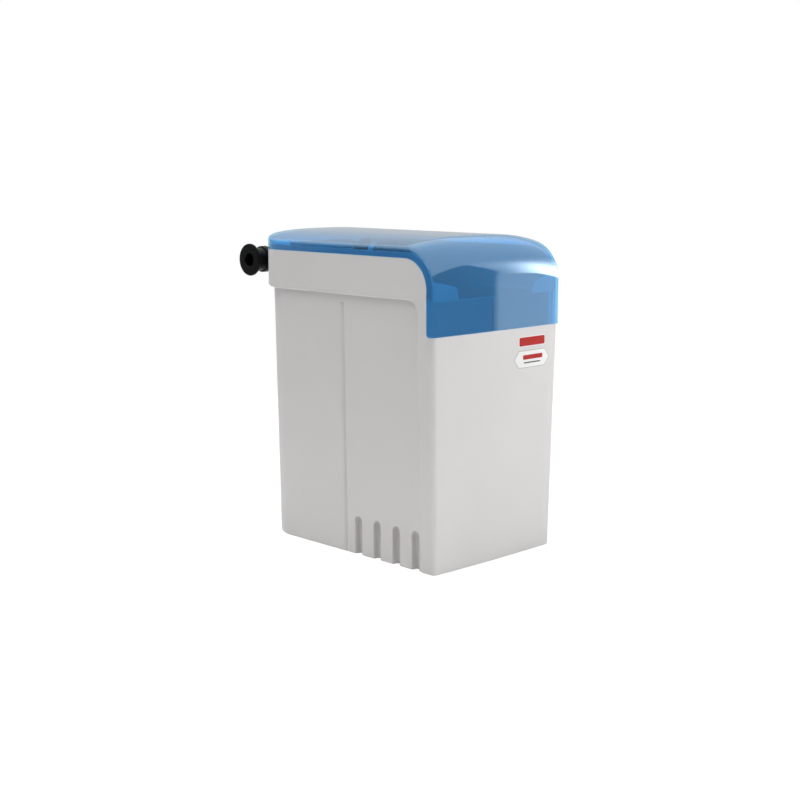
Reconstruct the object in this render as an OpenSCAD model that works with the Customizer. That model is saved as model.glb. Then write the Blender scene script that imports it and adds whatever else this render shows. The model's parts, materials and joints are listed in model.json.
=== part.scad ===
// Cabinet water softener with a translucent lid, two resin cylinders and a water-powered valve.
// Origin at the centre of the base, front towards -Y, +Z up, millimetres.

/* [Cabinet] */
// Width over the collar
cabinet_w = 285; // [275:1:320]
// Depth over the collar, without the ports
cabinet_d = 406; // [400:1:440]
// Height of the shoulder that the lid stands on
shoulder_z = 470.5; // [465:0.5:490]
// Height of the collar band
collar_h = 55.5; // [50:0.5:62]
// Height of the slope under the collar
collar_slope = 6; // [3:0.5:9]
// Inset of the side and rear panels below the collar
panel_inset = 5; // [3:0.5:7]
// How far each side panel leans in from collar to base
side_draft = 6; // [2:0.5:7]
// How far the front leans in from collar to base
front_draft = 4; // [1:0.5:8]
// How far the rear leans in from collar to base
rear_draft = 3; // [1:0.5:8]
// Outward bow of the front at mid width
front_bow = 2.5; // [0:0.5:5]
// Radius of the collar's and lid's rear corners in plan
rear_r = 55; // [45:1:58]
// Radius of the rear corners below the collar
panel_r = 60; // [50:1:64]
// Radius of the upright front edges
front_r = 8; // [4:0.5:12]
// Rounding of the base edge
base_r = 3; // [2:0.5:6]
// Thickness of the side, rear and floor walls
wall = 5; // [4:0.5:6]
// Thickness of the front wall and of the rim at the collar
rim = 6.5; // [6:0.5:8]

/* [Front pillar] */
// Width of the pillar beside the recessed panel
pillar_w = 29; // [22:1:34]
// How far the pillar leans in from collar to base
pillar_draft = 9; // [6:0.5:10]
// Radius of the recess corner between pillar and collar
recess_r = 30; // [15:1:40]

/* [Flutes and groove] */
// Width of a flute between its walls
flute_w = 16; // [13:0.5:18]
// Spacing of the flutes
flute_pitch = 42; // [38:0.5:44]
// Number of flutes on each side
flute_count = 4; // [3:1:4]
// Height of the flute tops above the base
flute_top = 61.5; // [45:0.5:80]
// Depth of a flute at the base
flute_depth = 8.5; // [4:0.5:9]
// Distance from the front to the first flute's centre
flute_start = 45; // [42:0.5:48]
// Distance of the side groove from mid depth, towards the front
groove_offset = 4; // [0:0.5:12]
// Radius of the groove's section
groove_r = 7; // [5:0.5:9]
// Depth of the groove
groove_depth = 2; // [1:0.25:2.5]
// Gap between the groove's top and the collar
groove_gap = 17; // [12:0.5:30]

/* [Lid] */
// Thickness of the lid
lid_wall = 3; // [2:0.25:3.5]
// Height of the lid's side skirt
lid_skirt = 16; // [12:0.5:20]
// Rise of the lid's crown from its sides to its middle
lid_crown = 13.5; // [8:0.5:18]
// Fullness of the crown: an even arc at 2, flatter in the middle above that
crown_power = 3; // [2:0.25:4]
// Rounding of the lid's outer edge
lid_edge_r = 4; // [2:0.25:5]
// Radius of the lid's front corner seen from the side
lid_front_r = 59; // [50:1:64]
// Drop of the lid's front below the shoulder
lid_drop = 112.5; // [90:0.5:130]
// Depth of the lid's skirt at the front
lid_front_skirt = 13.5; // [12:0.5:18]
// Radius of the shoulder's front corner seen from the side
shoulder_r = 45; // [30:1:50]
// Gap between the lid and the shoulder
lid_gap = 0.3; // [0.2:0.1:0.6]
// Height of the cabinet's inner lip above the shoulder
lip_h = 8.5; // [6:0.5:10]
// Gap between the lip and the lid's skirt
lip_gap = 1; // [0.8:0.1:1.5]

/* [Hinge] */
// Distance of each hinge from mid width
hinge_x = 40; // [30:1:48]
// Distance of the hinge axis behind the cabinet
hinge_back = 7; // [6.5:0.5:9]
// Height of the hinge axis above the shoulder
hinge_rise = 3.5; // [3:0.5:5]
// Width of the lid's hinge arm
arm_w = 10; // [8:0.5:14]
// Thickness of a bracket ear
ear_t = 4; // [3:0.5:6]
// Radius of the hinge pin
hinge_pin_r = 2; // [1.5:0.25:2.5]
// Radius of the knuckles
knuckle_r = 4.5; // [4:0.25:5]

/* [Ports] */
// Distance of each port's elbow from the cabinet's side
port_inset = 52.5; // [50:0.5:56]
// Gap between the port's tube and the shoulder's height
port_lid_gap = 1; // [0.5:0.25:5]
// Gap between the port's ring and the cabinet's rear
port_rear_gap = 3.4; // [2:0.2:10]
// Distance of the port's end from the cabinet's side
port_end_inset = 8; // [4:0.5:10]
// Radius of the port's end flange
flange_r = 26.4; // [25:0.2:30]
// Thickness of the port's end flange
flange_t = 5; // [4:0.5:7]
// Radius of the port's tube
port_r = 19; // [17:0.25:20]
// Radius of the port's ring
ring_r = 21.6; // [20.4:0.2:24]
// Length of the port's ring
ring_len = 12; // [8:0.5:13]
// Distance from the ring to the end flange
ring_back = 20; // [16:0.5:21]
// Radius of the pipe socket in each port
pipe_r = 11.1; // [7.6:0.1:14.1]
// Depth of the pipe socket
pipe_depth = 30; // [20:1:40]

/* [Salt side] */
// Distance from the cylinders' axes forward to the partition's middle
bay_d = 178; // [176:1:184]
// Thickness of the partition
partition_t = 4; // [3:0.5:5]
// Drop of the partition's top below the collar
partition_drop = 22; // [19:1:45]
// Thickness of the salt platform
platform_t = 6; // [4:0.5:8]
// Radius of the platform's drain holes
platform_hole_r = 4; // [3:0.5:5]
// Spacing of the platform's drain holes
platform_pitch = 22; // [18:1:28]

/* [Brine side] */
// Outer radius of the brine well
well_r = 30; // [26:1:32]
// Wall of the brine well
well_wall = 3; // [2:0.5:4]
// Drop of the brine well's top below the collar
well_drop = 95; // [70:5:160]
// Gap between the brine well's cap and the partition
well_gap = 3; // [2:0.5:5]
// Outer radius of the brine tube
tube_r = 5; // [4:0.25:6]
// Bore radius of the brine tube
tube_bore_r = 3.5; // [2.5:0.25:3.75]
// Radius of the brine tube's bend
tube_bend_r = 20; // [15:1:25]
// Outer radius of the float
float_r = 20; // [15:0.5:22]
// Height of the float
float_h = 36; // [25:1:45]
// Height of the float's stop above the floor
float_stop_z = 140; // [110:1:150]
// Drop of the overflow below the collar
overflow_drop = 85; // [65:1:115]
// Outer radius of the overflow spigot
overflow_r = 9.5; // [7.5:0.25:11]
// Length of the overflow spigot
overflow_len = 34; // [25:1:50]
// Outer radius of the drain spigot
drain_r = 6; // [5:0.25:7]
// Reach of the drain spigot behind the cabinet
drain_reach = 34; // [25:1:50]

/* [Cylinders] */
// Gap between a cylinder and the cabinet's side wall
cylinder_gap = 1; // [0.5:0.5:6]
// Gap between each cylinder and mid width
centre_gap = 2.5; // [1:0.5:6]
// Distance from the rear to the cylinders' axes
cylinder_back = 105; // [103:1:111]
// Height from the top of the cylinders' necks to the shoulder
valve_room = 87.5; // [85:0.5:97]
// Width of a cylinder's shoulder round its neck
neck_step = 25; // [24:0.5:30]
// Wall of a cylinder
cylinder_wall = 4; // [3:0.5:5]
// Radius of the riser tube
riser_r = 10; // [8:0.5:11]
// Height of the free water above the resin bed
freeboard = 84; // [75:1:160]
// Thickness of the neck seal
neck_seal_t = 2.5; // [2:0.25:3]

/* [Meter] */
// Gear tooth module
gear_module = 1.5; // [1.25:0.25:1.5]
// Teeth on the drive pinion and on the idler's small gear
pinion_teeth = 12; // [12:1:13]
// Teeth on the idler's large gear
idler_teeth = 24; // [22:1:26]
// Teeth on the meter disc
disc_teeth = 40; // [36:1:42]
// Backlash between meshing teeth
backlash = 0.3; // [0.2:0.05:0.4]
// Thickness of a gear
gear_t = 6; // [5:0.5:7]
// Number of turbine vanes
vane_count = 8; // [6:1:12]
// Radius of the turbine's chamber
turbine_chamber_r = 17; // [15:0.5:18]
// Thickness of the meter cover
cover_t = 2; // [1.5:0.25:2.5]

/* [Changeover piston] */
// Radius of the piston's bore
piston_bore_r = 15; // [12:0.5:15.5]
// Room between the piston's block and each port's elbow
block_room = 18; // [17:0.5:22]
// Travel of the piston to each side
piston_travel = 8; // [5:0.5:9]

/* [Fits] */
// Radial clearance of a shaft in its hole
shaft_fit = 0.05; // [0.02:0.01:0.08]
// Clearance of a loose sliding piece
slide_fit = 0.4; // [0.3:0.05:0.6]
// Clearance round a fixed piece in its seat
seat_fit = 0.3; // [0.2:0.05:0.4]
// Radius of the screws
screw_r = 1.95; // [1.5:0.05:2]

/* [Hidden] */
$fn = 64;

// Small overlap that makes a cut or a union pass cleanly through a face
eps = 0.5;
half_w = cabinet_w / 2;
half_d = cabinet_d / 2;
collar_z = shoulder_z - collar_h;
crown_z = shoulder_z + lid_skirt + lid_crown;
// Height above everything, for cuts that are open at the top
clear_room = 40;
clear_z = crown_z + clear_room;
// Y of the upright edge of the lid's side opening
opening_y = -half_d + lid_front_skirt;

// Share of the draft left at a height: none at the collar, all at the base
function draft_share(z) = max(0, (collar_z - z) / collar_z);
function panel_half(z) = half_w - panel_inset - side_draft * draft_share(z);
function pillar_half(z) = half_w - pillar_draft * draft_share(z);
function front_y(z) = -half_d + front_draft * draft_share(z);
function rear_y(z) = half_d - panel_inset - rear_draft * draft_share(z);
function pitch_r(teeth) = gear_module * teeth / 2;

// Sizes that follow the cabinet's width, depth and height
lid_front_z = shoulder_z - lid_drop;
port_x = half_w - port_inset;
port_z = shoulder_z - port_lid_gap - port_r;
rib_rise = 1.5;
cylinder_r = (panel_half(0) - wall - cylinder_gap - centre_gap) / 2 - rib_rise;
cylinder_x = centre_gap + rib_rise + cylinder_r;
cylinder_y = half_d - cylinder_back;
cylinder_h = shoulder_z - valve_room - wall;
neck_r = cylinder_r - neck_step;
partition_y = cylinder_y - bay_d;
partition_top = collar_z - partition_drop;
well_h = collar_z - well_drop - wall;
well_y = partition_y + partition_t / 2 + well_gap + well_r + well_wall;
overflow_z = collar_z - overflow_drop;

// Hinges at the rear: axis, bracket plate and screws
hinge_y = half_d + hinge_back;
hinge_z = shoulder_z + hinge_rise;
bracket_t = 3;
bracket_h = 14;
bracket_ear_margin = 11;
bracket_w = arm_w + 4 * seat_fit + 2 * ear_t + 2 * bracket_ear_margin;
bracket_drop = 2;
bracket_top_z = shoulder_z - bracket_drop;
screw_head_r = 2 * screw_r;
screw_head_t = 1.2 * screw_r;
screw_skin = 0.5;
screw_depth = rim - screw_skin;
bracket_screw_x = bracket_w / 2 - screw_head_r - 2 * screw_skin;

// Cylinders: roundings, and the strainer at the foot of each riser
cylinder_base_r = 14;
cylinder_dome_r = 22;
neck_h = 30;
resin_h = cylinder_h - cylinder_base_r - freeboard;
strainer_r = 18;
strainer_h = 36;
strainer_foot = 1;
strainer_z = wall + cylinder_wall + strainer_foot;
riser_wall = 2;

// Manifold: cups over the necks, elbows to the ports, piston block
roof_z = wall + cylinder_h + neck_seal_t;
plate_t = 12;
cup_wall = 6;
cup_h = 24;
elbow_r = 24;
elbow_back = 8;
elbow_y = cylinder_y + elbow_back;
socket_r = 17;
socket_depth = 30;
socket_reach = 44;
socket_end_y = elbow_y + socket_reach;
piston_wall = 5;
piston_floor = 2;
piston_z = roof_z + plate_t + piston_bore_r + piston_floor;
piston_end_room = 10;
piston_half = port_x - elbow_r - block_room;
piston_len = 2 * (piston_half - piston_travel - piston_end_room);

// Meter: deck height, and the places of its shafts, spaced by the gears that mesh
meter_deck_z = piston_z + piston_bore_r + piston_wall;
deck_t = 13;
deck_rim = 4;
cover_room = 1.2;
screw_land = 9;
screw_spread = 24;
disc_outer_r = pitch_r(disc_teeth) + gear_module;
idler_x = -18.8;
turbine_x = idler_x - pitch_r(pinion_teeth) - pitch_r(idler_teeth);
disc_x = idler_x + pitch_r(pinion_teeth) + pitch_r(disc_teeth);
meter_y = cylinder_y - piston_bore_r - piston_wall - disc_outer_r - deck_rim;
cover_left_x = turbine_x - turbine_chamber_r + 2 * cover_t;
cover_right_x = disc_x + disc_outer_r + cover_room;
cover_front_y = meter_y - disc_outer_r - cover_room;
cover_back_y = meter_y + disc_outer_r + cover_room;
deck_left_x = cover_left_x - cover_t - screw_land;
deck_right_x = cover_right_x + cover_t + screw_land;
deck_front_y = cover_front_y - cover_t - deck_rim;
deck_back_y = meter_y + disc_outer_r + deck_rim;
shaft_r = 2;
idler_pin_r = 2.5;
idler_pin_depth = 8;
disc_shaft_r = 4;
disc_shaft_depth = 10;
bearing_t = 6;
turbine_depth = 35;
turbine_floor = 6;
pivot_depth = 4;
end_play = 0.5;
turbine_floor_z = meter_deck_z - turbine_depth;
gear_gap = 1;
low_gear_z = meter_deck_z + gear_gap;
high_gear_z = low_gear_z + gear_t + gear_gap;
cover_gap = 4;
cover_screw_depth = 8;
cover_top_z = high_gear_z + gear_t + cover_gap + cover_t;
disc_head_r = 6;

// Drain: height of its axis on the piston's block
drain_drop = 12;
drain_z = meter_deck_z - drain_drop;

// Brine tube: foot on the brine valve, level run into the manifold's nipple
valve_h = 60;
valve_r = 14;
nipple_len = 10;
tube_top_z = meter_deck_z - deck_t / 2;

// Overflow: its flange and gasket clear the leaning rear wall
overflow_flange_t = 3;
overflow_flange_r = 17;
gasket_t = 2;
nut_t = 8;
overflow_wall_y = rear_y(overflow_z);
overflow_lean = rear_draft / collar_z * overflow_flange_r + shaft_fit;
overflow_inner_y = overflow_wall_y - wall - overflow_lean;
thread_past_nut = 3;
overflow_thread_end = overflow_inner_y - gasket_t - nut_t - thread_past_nut;

// Ports: arm towards the side, collar at the socket and seal
arm_y = half_d + port_rear_gap + ring_r;
arm_len = half_w - port_end_inset - port_x;
port_collar_t = 6;
spigot_r = socket_r - 2 * shaft_fit;
port_bore_step = 2.5;
port_bore_r = pipe_r - port_bore_step;
port_seal_r = 1.3;
port_seal_depth = 12;
port_seal_y = socket_end_y - port_seal_depth;

// Points along an arc in the plane
function arc_points(x, y, r, from, to, steps) =
    [for (i = [0:steps]) let (a = from + (to - from) * i / steps) [x + r * cos(a), y + r * sin(a)]];

corner_steps = 8;
edge_steps = 3;
bow_steps = 8;

// Front run of a plan outline, from the left edge to the right one, bowed outwards
function front_run(w, yf, r) =
    let (run = concat(
        arc_points(-(w - r), yf + r, r, 180, 270, edge_steps),
        [for (i = [1:bow_steps - 1]) [(w - r) * (2 * i / bow_steps - 1), yf]],
        arc_points(w - r, yf + r, r, 270, 360, edge_steps)))
    [for (p = run) [p[0], p[1] - front_bow * (1 - pow(p[0] / w, 2))]];

// Plan outline with small front corners and large rear corners
function plan_outline(w, yf, yr, rf, rr) = concat(
    arc_points(w - rr, yr - rr, rr, 0, 90, corner_steps),
    arc_points(-(w - rr), yr - rr, rr, 90, 180, corner_steps),
    front_run(w, yf, rf));

function at_height(outline, z) = [for (p = outline) [p[0], p[1], z]];

// Solid through a stack of rings that have equal numbers of points
module loft(rings) {
    n = len(rings[0]);
    last = len(rings) - 1;
    points = [for (ring = rings) for (p = ring) p];
    sides = [for (k = [0:last - 1]) for (i = [0:n - 1])
        let (j = (i + 1) % n, a = k * n, b = a + n)
        each [[a + i, b + i, b + j], [a + i, b + j, a + j]]];
    ends = [[for (i = [0:n - 1]) i], [for (i = [0:n - 1]) last * n + n - 1 - i]];
    polyhedron(points, concat(sides, ends), convexity = 6);
}

// Height and inset of each ring of the rounded base edge
base_rings = [for (a = [0:30:90]) [base_r * (1 - cos(a)), base_r * (1 - sin(a))]];

// Puts a profile drawn in Y and Z across the cabinet, centred on mid width
module across(width) {
    rotate([90, 0, 90])
        linear_extrude(height = width, center = true)
            children();
}

// Region below the shoulder in Y and Z: flat at the top, rounded at the front, cut down for the lid's front
module below_shoulder(edge_y, top_z, front_z, r, foot_r) {
    back_y = cabinet_d;
    front_reach = cabinet_d;
    translate([edge_y, -eps]) square([back_y - edge_y, top_z - r + eps]);
    translate([edge_y + r, -eps]) square([back_y - edge_y - r, top_z + eps]);
    translate([edge_y + r, top_z - r]) circle(r);
    translate([edge_y - front_reach, -eps]) square([front_reach + eps, front_z + eps]);
    difference() {
        translate([edge_y - foot_r, front_z - eps]) square([foot_r + eps, foot_r + eps]);
        translate([edge_y - foot_r, front_z + foot_r]) circle(foot_r);
    }
}

opening_foot_r = 5;
module shoulder_profile(grow) {
    below_shoulder(opening_y - grow, shoulder_z + grow, lid_front_z + grow, shoulder_r + grow,
        max(opening_foot_r - grow, eps));
}

// Main panels: side and rear faces with their drafts and the rounded base edge, behind the front block
module panel_body() {
    loft(concat(
        [for (b = base_rings) at_height(
            plan_outline(panel_half(b[0]) - b[1], front_y(b[0]) + b[1] + wall, rear_y(b[0]) - b[1],
                max(front_r - b[1], 1), panel_r - b[1]), b[0])],
        [at_height(
            plan_outline(panel_half(collar_z), front_y(collar_z) + wall, rear_y(collar_z), front_r, panel_r),
            collar_z + eps)]));
}

// Front block with the two pillars, sloped back to the side panels
function pillar_outline(z, inset) =
    let (w = pillar_half(z) - inset, inner = panel_half(z) - inset - eps, back = -half_d + pillar_w)
    concat([[w, back], [inner, back + w - inner], [-inner, back + w - inner], [-w, back]],
        front_run(w, front_y(z) + inset, max(front_r - inset, 1)));

module pillar_body() {
    loft(concat(
        [for (b = base_rings) at_height(pillar_outline(b[0], b[1]), b[0])],
        [at_height(pillar_outline(collar_z, 0), collar_z + eps)]));
}

// Collar band, from its sloped underside up past the lid's height
module collar_body(inset, top) {
    w = half_w - inset;
    front = -half_d + inset;
    rear = half_d - inset;
    outline = plan_outline(w, front, rear, max(front_r - inset, 1), rear_r - inset);
    low = plan_outline(w - panel_inset, front, rear - panel_inset, max(front_r - inset, 1), panel_r - inset);
    loft([at_height(low, collar_z - collar_slope), at_height(outline, collar_z), at_height(outline, top)]);
}

// Rounded corner of each recessed side panel, sloped like the collar's underside
module recess_corners() {
    slope_reach = recess_r / 2;
    for (side = [0, 1]) mirror([side, 0, 0])
        difference() {
            translate([panel_half(0), -half_d + pillar_w - eps, collar_z - recess_r])
                cube([pillar_half(collar_z - recess_r) - panel_half(0), recess_r + eps, recess_r + eps]);
            translate([half_w - slope_reach, -half_d + pillar_w + recess_r, collar_z - recess_r])
                rotate([0, 90, 0])
                    cylinder(h = 2 * slope_reach, r1 = recess_r - slope_reach, r2 = recess_r + slope_reach);
        }
}

// Upright groove in each side panel, rounded at its top and open at the base
module side_grooves() {
    lean = atan(side_draft / collar_z);
    axis_x = panel_half(0) + groove_r - groove_depth;
    half_mouth = sqrt(groove_depth * (2 * groove_r - groove_depth));
    length = collar_z - groove_gap - half_mouth;
    for (side = [0, 1]) mirror([side, 0, 0])
        translate([axis_x, -groove_offset, 0])
            rotate([0, lean, 0]) {
                translate([0, 0, -groove_r]) cylinder(h = length + groove_r, r = groove_r);
                translate([0, 0, length]) sphere(groove_r);
            }
}

// Flutes low on the sides: floor, wall thickness and roundings
flute_floor_x = panel_half(0) - flute_depth;
flute_wall = 4;
flute_floor_r = 0.65 * flute_depth;
flute_lip_r = 0.3 * flute_depth;

// Half section of a flute from its floor out through the rounded lip: distance from its middle, then X
function flute_section() =
    let (half = flute_w / 2, face_x = panel_half(flute_top), open_x = half_w + eps)
    concat([[0, flute_floor_x]],
        arc_points(half - flute_floor_r, flute_floor_x + flute_floor_r, flute_floor_r, -90, 0, edge_steps),
        arc_points(half + flute_lip_r, face_x - flute_lip_r, flute_lip_r, 180, 90, edge_steps),
        [[half + flute_lip_r, open_x], [0, open_x]]);

// Cut of one flute: a straight run that is open at the base, and a round top
module flute_cut() {
    centre_z = flute_top - flute_w / 2;
    section = flute_section();
    mirrored = [for (i = [len(section) - 2:-1:1]) [-section[i][0], section[i][1]]];
    translate([0, 0, -eps]) linear_extrude(height = centre_z + eps)
        polygon([for (p = concat(section, mirrored)) [p[1], p[0]]]);
    translate([0, 0, centre_z]) rotate([0, 90, 0]) rotate_extrude() polygon(section);
}

// Bump inside the side wall round the back of one flute
module flute_bump() {
    half = flute_w / 2 + flute_wall;
    centre_z = flute_top - flute_w / 2;
    translate([flute_floor_x - flute_wall, 0, 0]) rotate([90, 0, 90]) linear_extrude(height = half_w) {
        translate([-half, -eps]) square([2 * half, centre_z + eps]);
        translate([0, centre_z]) circle(half);
    }
}

module at_flutes() {
    for (side = [0, 1], i = [0:flute_count - 1]) mirror([side, 0, 0])
        translate([0, -half_d + flute_start + i * flute_pitch, 0])
            children();
}

// Upright ribs inside the side walls that hold the partition's edges
guide_rib_t = 3;
guide_rib_reach = 6;
guide_inner_x = panel_half(0) - wall - guide_rib_reach;
module partition_guides() {
    gap = partition_t / 2 + seat_fit;
    for (side = [0, 1], way = [-1, 1]) mirror([side, 0, 0])
        translate([guide_inner_x, partition_y + way * (gap + guide_rib_t / 2) - guide_rib_t / 2, 0])
            cube([half_w, guide_rib_t, partition_top]);
}

// Inside of the cabinet, with the flutes' bumps and the partition guides left standing
module cavity() {
    floor_chamfer = 6;
    function inner_outline(z, inset) = plan_outline(panel_half(z) - wall - inset, front_y(z) + rim + inset,
        rear_y(z) - wall - inset, front_r / 2, panel_r - wall - inset);
    rim_outline = plan_outline(half_w - rim, -half_d + rim, half_d - rim, front_r / 2, rear_r - rim);
    low_z = collar_z - collar_slope;
    difference() {
        loft([
            at_height(inner_outline(wall, floor_chamfer), wall),
            at_height(inner_outline(wall + floor_chamfer, 0), wall + floor_chamfer),
            at_height(inner_outline(low_z, 0), low_z),
            at_height(rim_outline, collar_z + collar_slope),
            at_height(rim_outline, clear_z)]);
        at_flutes() flute_bump();
        partition_guides();
    }
}

// Openings through the rear wall for the ports, the drain, the overflow and the hinge screws
port_hole_gap = 1;
overflow_thread_r = 12.5;
wall_cut = 3 * rim;
module rear_openings() {
    notch_r = port_r + port_hole_gap;
    notch_depth = rear_r;
    for (side = [-1, 1])
        translate([side * port_x, half_d - notch_depth, port_z]) {
            rotate([-90, 0, 0]) cylinder(h = 2 * notch_depth, r = notch_r);
            translate([-notch_r, 0, 0]) cube([2 * notch_r, 2 * notch_depth, clear_z]);
        }
    translate([0, half_d - wall_cut, drain_z])
        rotate([-90, 0, 0]) cylinder(h = 2 * wall_cut, r = drain_r + port_hole_gap);
    translate([0, half_d - 2 * wall_cut, overflow_z])
        rotate([-90, 0, 0]) cylinder(h = 3 * wall_cut, r = overflow_thread_r + seat_fit);
    hinge_screw_places()
        rotate([90, 0, 0])
            translate([0, 0, -eps]) cylinder(h = screw_depth + eps, r = screw_r + 2 * shaft_fit);
}

module cabinet() {
    lip_inset = lid_wall + lip_gap;
    color("gainsboro") difference() {
        union() {
            intersection() {
                union() {
                    panel_body();
                    pillar_body();
                    collar_body(0, clear_z);
                    recess_corners();
                }
                across(2 * cabinet_w) shoulder_profile(0);
            }
            intersection() {
                collar_body(lip_inset, clear_z);
                across(2 * cabinet_w) shoulder_profile(lip_h);
            }
        }
        cavity();
        at_flutes() flute_cut();
        side_grooves();
        rear_openings();
    }
}

// Lid surface: crown across the width, bowed front, rear corners that follow the collar
function lid_top_z(x) = crown_z - lid_crown * pow(abs(x) / half_w, crown_power);
function lid_front_y(x) = -half_d - front_bow * (1 - pow(x / half_w, 2));
function lid_rear_y(x, depth) =
    let (past = abs(x) - (half_w - rear_r), r = rear_r - depth)
    past <= 0 ? half_d - depth : half_d - rear_r + sqrt(max(r * r - past * past, 0));

lid_arc_steps = 10;
lid_foot_drop = 10;
lid_foot_z = lid_front_z - 2 * lid_foot_drop;

// Upright section of the lid at one place across the width, sunk by a depth below the outer surface
function lid_ring(x, depth, edge, foot) =
    let (top = lid_top_z(x) - depth - edge, rear = lid_rear_y(x, depth),
        front = lid_front_y(x) + depth + edge, r = lid_front_r - depth - edge, e = lid_edge_r)
    let (outline = concat(
        [[rear, foot]],
        arc_points(rear - e, top - e, e, 0, 90, edge_steps),
        arc_points(front + r, top - r, r, 90, 180, lid_arc_steps),
        [[front, foot]]))
    [for (p = outline) [x, p[0], p[1]]];

// Places across the right half of the lid, each with the drop of the rounded side edge there
function lid_places(depth) = concat(
    [for (i = [0:4]) [(half_w - rear_r) * i / 4, 0]],
    [for (a = [15:15:75]) [half_w - rear_r + (rear_r - depth) * sin(a), 0]],
    [for (a = [45, 90]) [half_w - depth - lid_edge_r * (1 - sin(a)), lid_edge_r * (1 - cos(a))]]);

module lid_form(depth, foot) {
    right = lid_places(depth);
    left = [for (i = [len(right) - 1:-1:1]) [-right[i][0], right[i][1]]];
    loft([for (p = concat(left, right)) lid_ring(p[0], depth, p[1], foot)]);
}

module lid() {
    color([0.24, 0.5, 0.78, 0.6]) intersection() {
        difference() {
            lid_form(0, lid_foot_z);
            lid_form(lid_wall, lid_foot_z - lid_foot_drop);
        }
        across(2 * cabinet_w) difference() {
            translate([-cabinet_d, 0]) square([2 * cabinet_d, clear_z]);
            shoulder_profile(lid_gap);
        }
    }
}

// Hinges at the rear: a two-eared bracket on the cabinet, an arm on the lid and a pin through both
module hinge_screw_places() {
    for (side = [-1, 1], way = [-1, 1])
        translate([side * hinge_x + way * bracket_screw_x, half_d, bracket_top_z - bracket_h / 2])
            children();
}

module hinge_bracket() {
    difference() {
        union() {
            translate([-bracket_w / 2, half_d, bracket_top_z - bracket_h])
                cube([bracket_w, bracket_t, bracket_h]);
            for (way = [-1, 1])
                translate([way * (arm_w / 2 + 2 * seat_fit + ear_t / 2), 0, 0])
                    rotate([90, 0, 90])
                        linear_extrude(height = ear_t, center = true) {
                            translate([hinge_y, hinge_z]) circle(knuckle_r);
                            translate([half_d + eps, bracket_top_z - bracket_h])
                                square([hinge_back + knuckle_r - eps, bracket_h]);
                            translate([hinge_y - knuckle_r + eps, bracket_top_z - eps])
                                square([2 * knuckle_r - eps, hinge_z - bracket_top_z + eps]);
                        }
        }
        translate([0, hinge_y, hinge_z])
            rotate([0, 90, 0]) cylinder(h = bracket_w, r = hinge_pin_r, center = true);
        for (way = [-1, 1])
            translate([way * bracket_screw_x, half_d - eps, bracket_top_z - bracket_h / 2])
                rotate([-90, 0, 0]) cylinder(h = bracket_t + 2 * eps, r = screw_r + 2 * shaft_fit);
    }
}

module hinge_arm() {
    arm_low = shoulder_z + lid_gap + eps;
    difference() {
        rotate([90, 0, 90])
            linear_extrude(height = arm_w, center = true) {
                translate([hinge_y, hinge_z]) circle(knuckle_r);
                translate([half_d, arm_low]) square([hinge_back, hinge_z + knuckle_r - arm_low]);
            }
        translate([0, hinge_y, hinge_z])
            rotate([0, 90, 0]) cylinder(h = 2 * arm_w, r = hinge_pin_r + shaft_fit, center = true);
    }
}

module hinge_pin() {
    length = arm_w + 4 * seat_fit + 2 * ear_t;
    translate([0, hinge_y, hinge_z]) rotate([0, 90, 0]) cylinder(h = length, r = hinge_pin_r, center = true);
}

// Pan-headed screw along +Z, head seated at the origin
module screw(length) {
    translate([0, 0, -length]) cylinder(h = length + eps, r = screw_r);
    difference() {
        cylinder(h = screw_head_t, r = screw_head_r);
        for (turn = [0, 90])
            rotate([0, 0, turn])
                translate([-screw_head_r / 2, -screw_r / 6, screw_head_t / 2])
                    cube([screw_head_r, screw_r / 3, screw_head_t]);
    }
}

module hinge_bracket_left() { color("whitesmoke") translate([-hinge_x, 0, 0]) hinge_bracket(); }
module hinge_bracket_right() { color("whitesmoke") translate([hinge_x, 0, 0]) hinge_bracket(); }
module hinge_arm_left() { color("steelblue") translate([-hinge_x, 0, 0]) hinge_arm(); }
module hinge_arm_right() { color("steelblue") translate([hinge_x, 0, 0]) hinge_arm(); }
module hinge_pin_left() { color("silver") translate([-hinge_x, 0, 0]) hinge_pin(); }
module hinge_pin_right() { color("silver") translate([hinge_x, 0, 0]) hinge_pin(); }
module hinge_screws() {
    color("silver") hinge_screw_places()
        translate([0, bracket_t, 0]) rotate([-90, 0, 0]) screw(screw_depth + bracket_t - 2 * screw_skin);
}

// Panel between the salt compartment and the bay of the cylinders, with brine arches at its foot
platform_z = flute_top + flute_wall + seat_fit;
edge_gap = 1;
module partition() {
    half = panel_half(0) - wall - edge_gap;
    low_half = flute_floor_x - flute_wall - edge_gap;
    arch_w = 40;
    arch_h = 30;
    color("white") translate([0, partition_y + partition_t / 2, 0]) rotate([90, 0, 0])
        linear_extrude(height = partition_t) difference() {
            union() {
                translate([-half, platform_z + edge_gap])
                    square([2 * half, partition_top - platform_z - edge_gap]);
                translate([-low_half, wall]) square([2 * low_half, platform_z]);
            }
            for (x = [-1, 0, 1]) translate([x * 2 * arch_w - arch_w / 2, 0]) {
                translate([0, wall - eps]) square([arch_w, arch_h - arch_w / 2 + eps]);
                translate([arch_w / 2, wall + arch_h - arch_w / 2]) circle(arch_w / 2);
            }
        }
}

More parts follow.
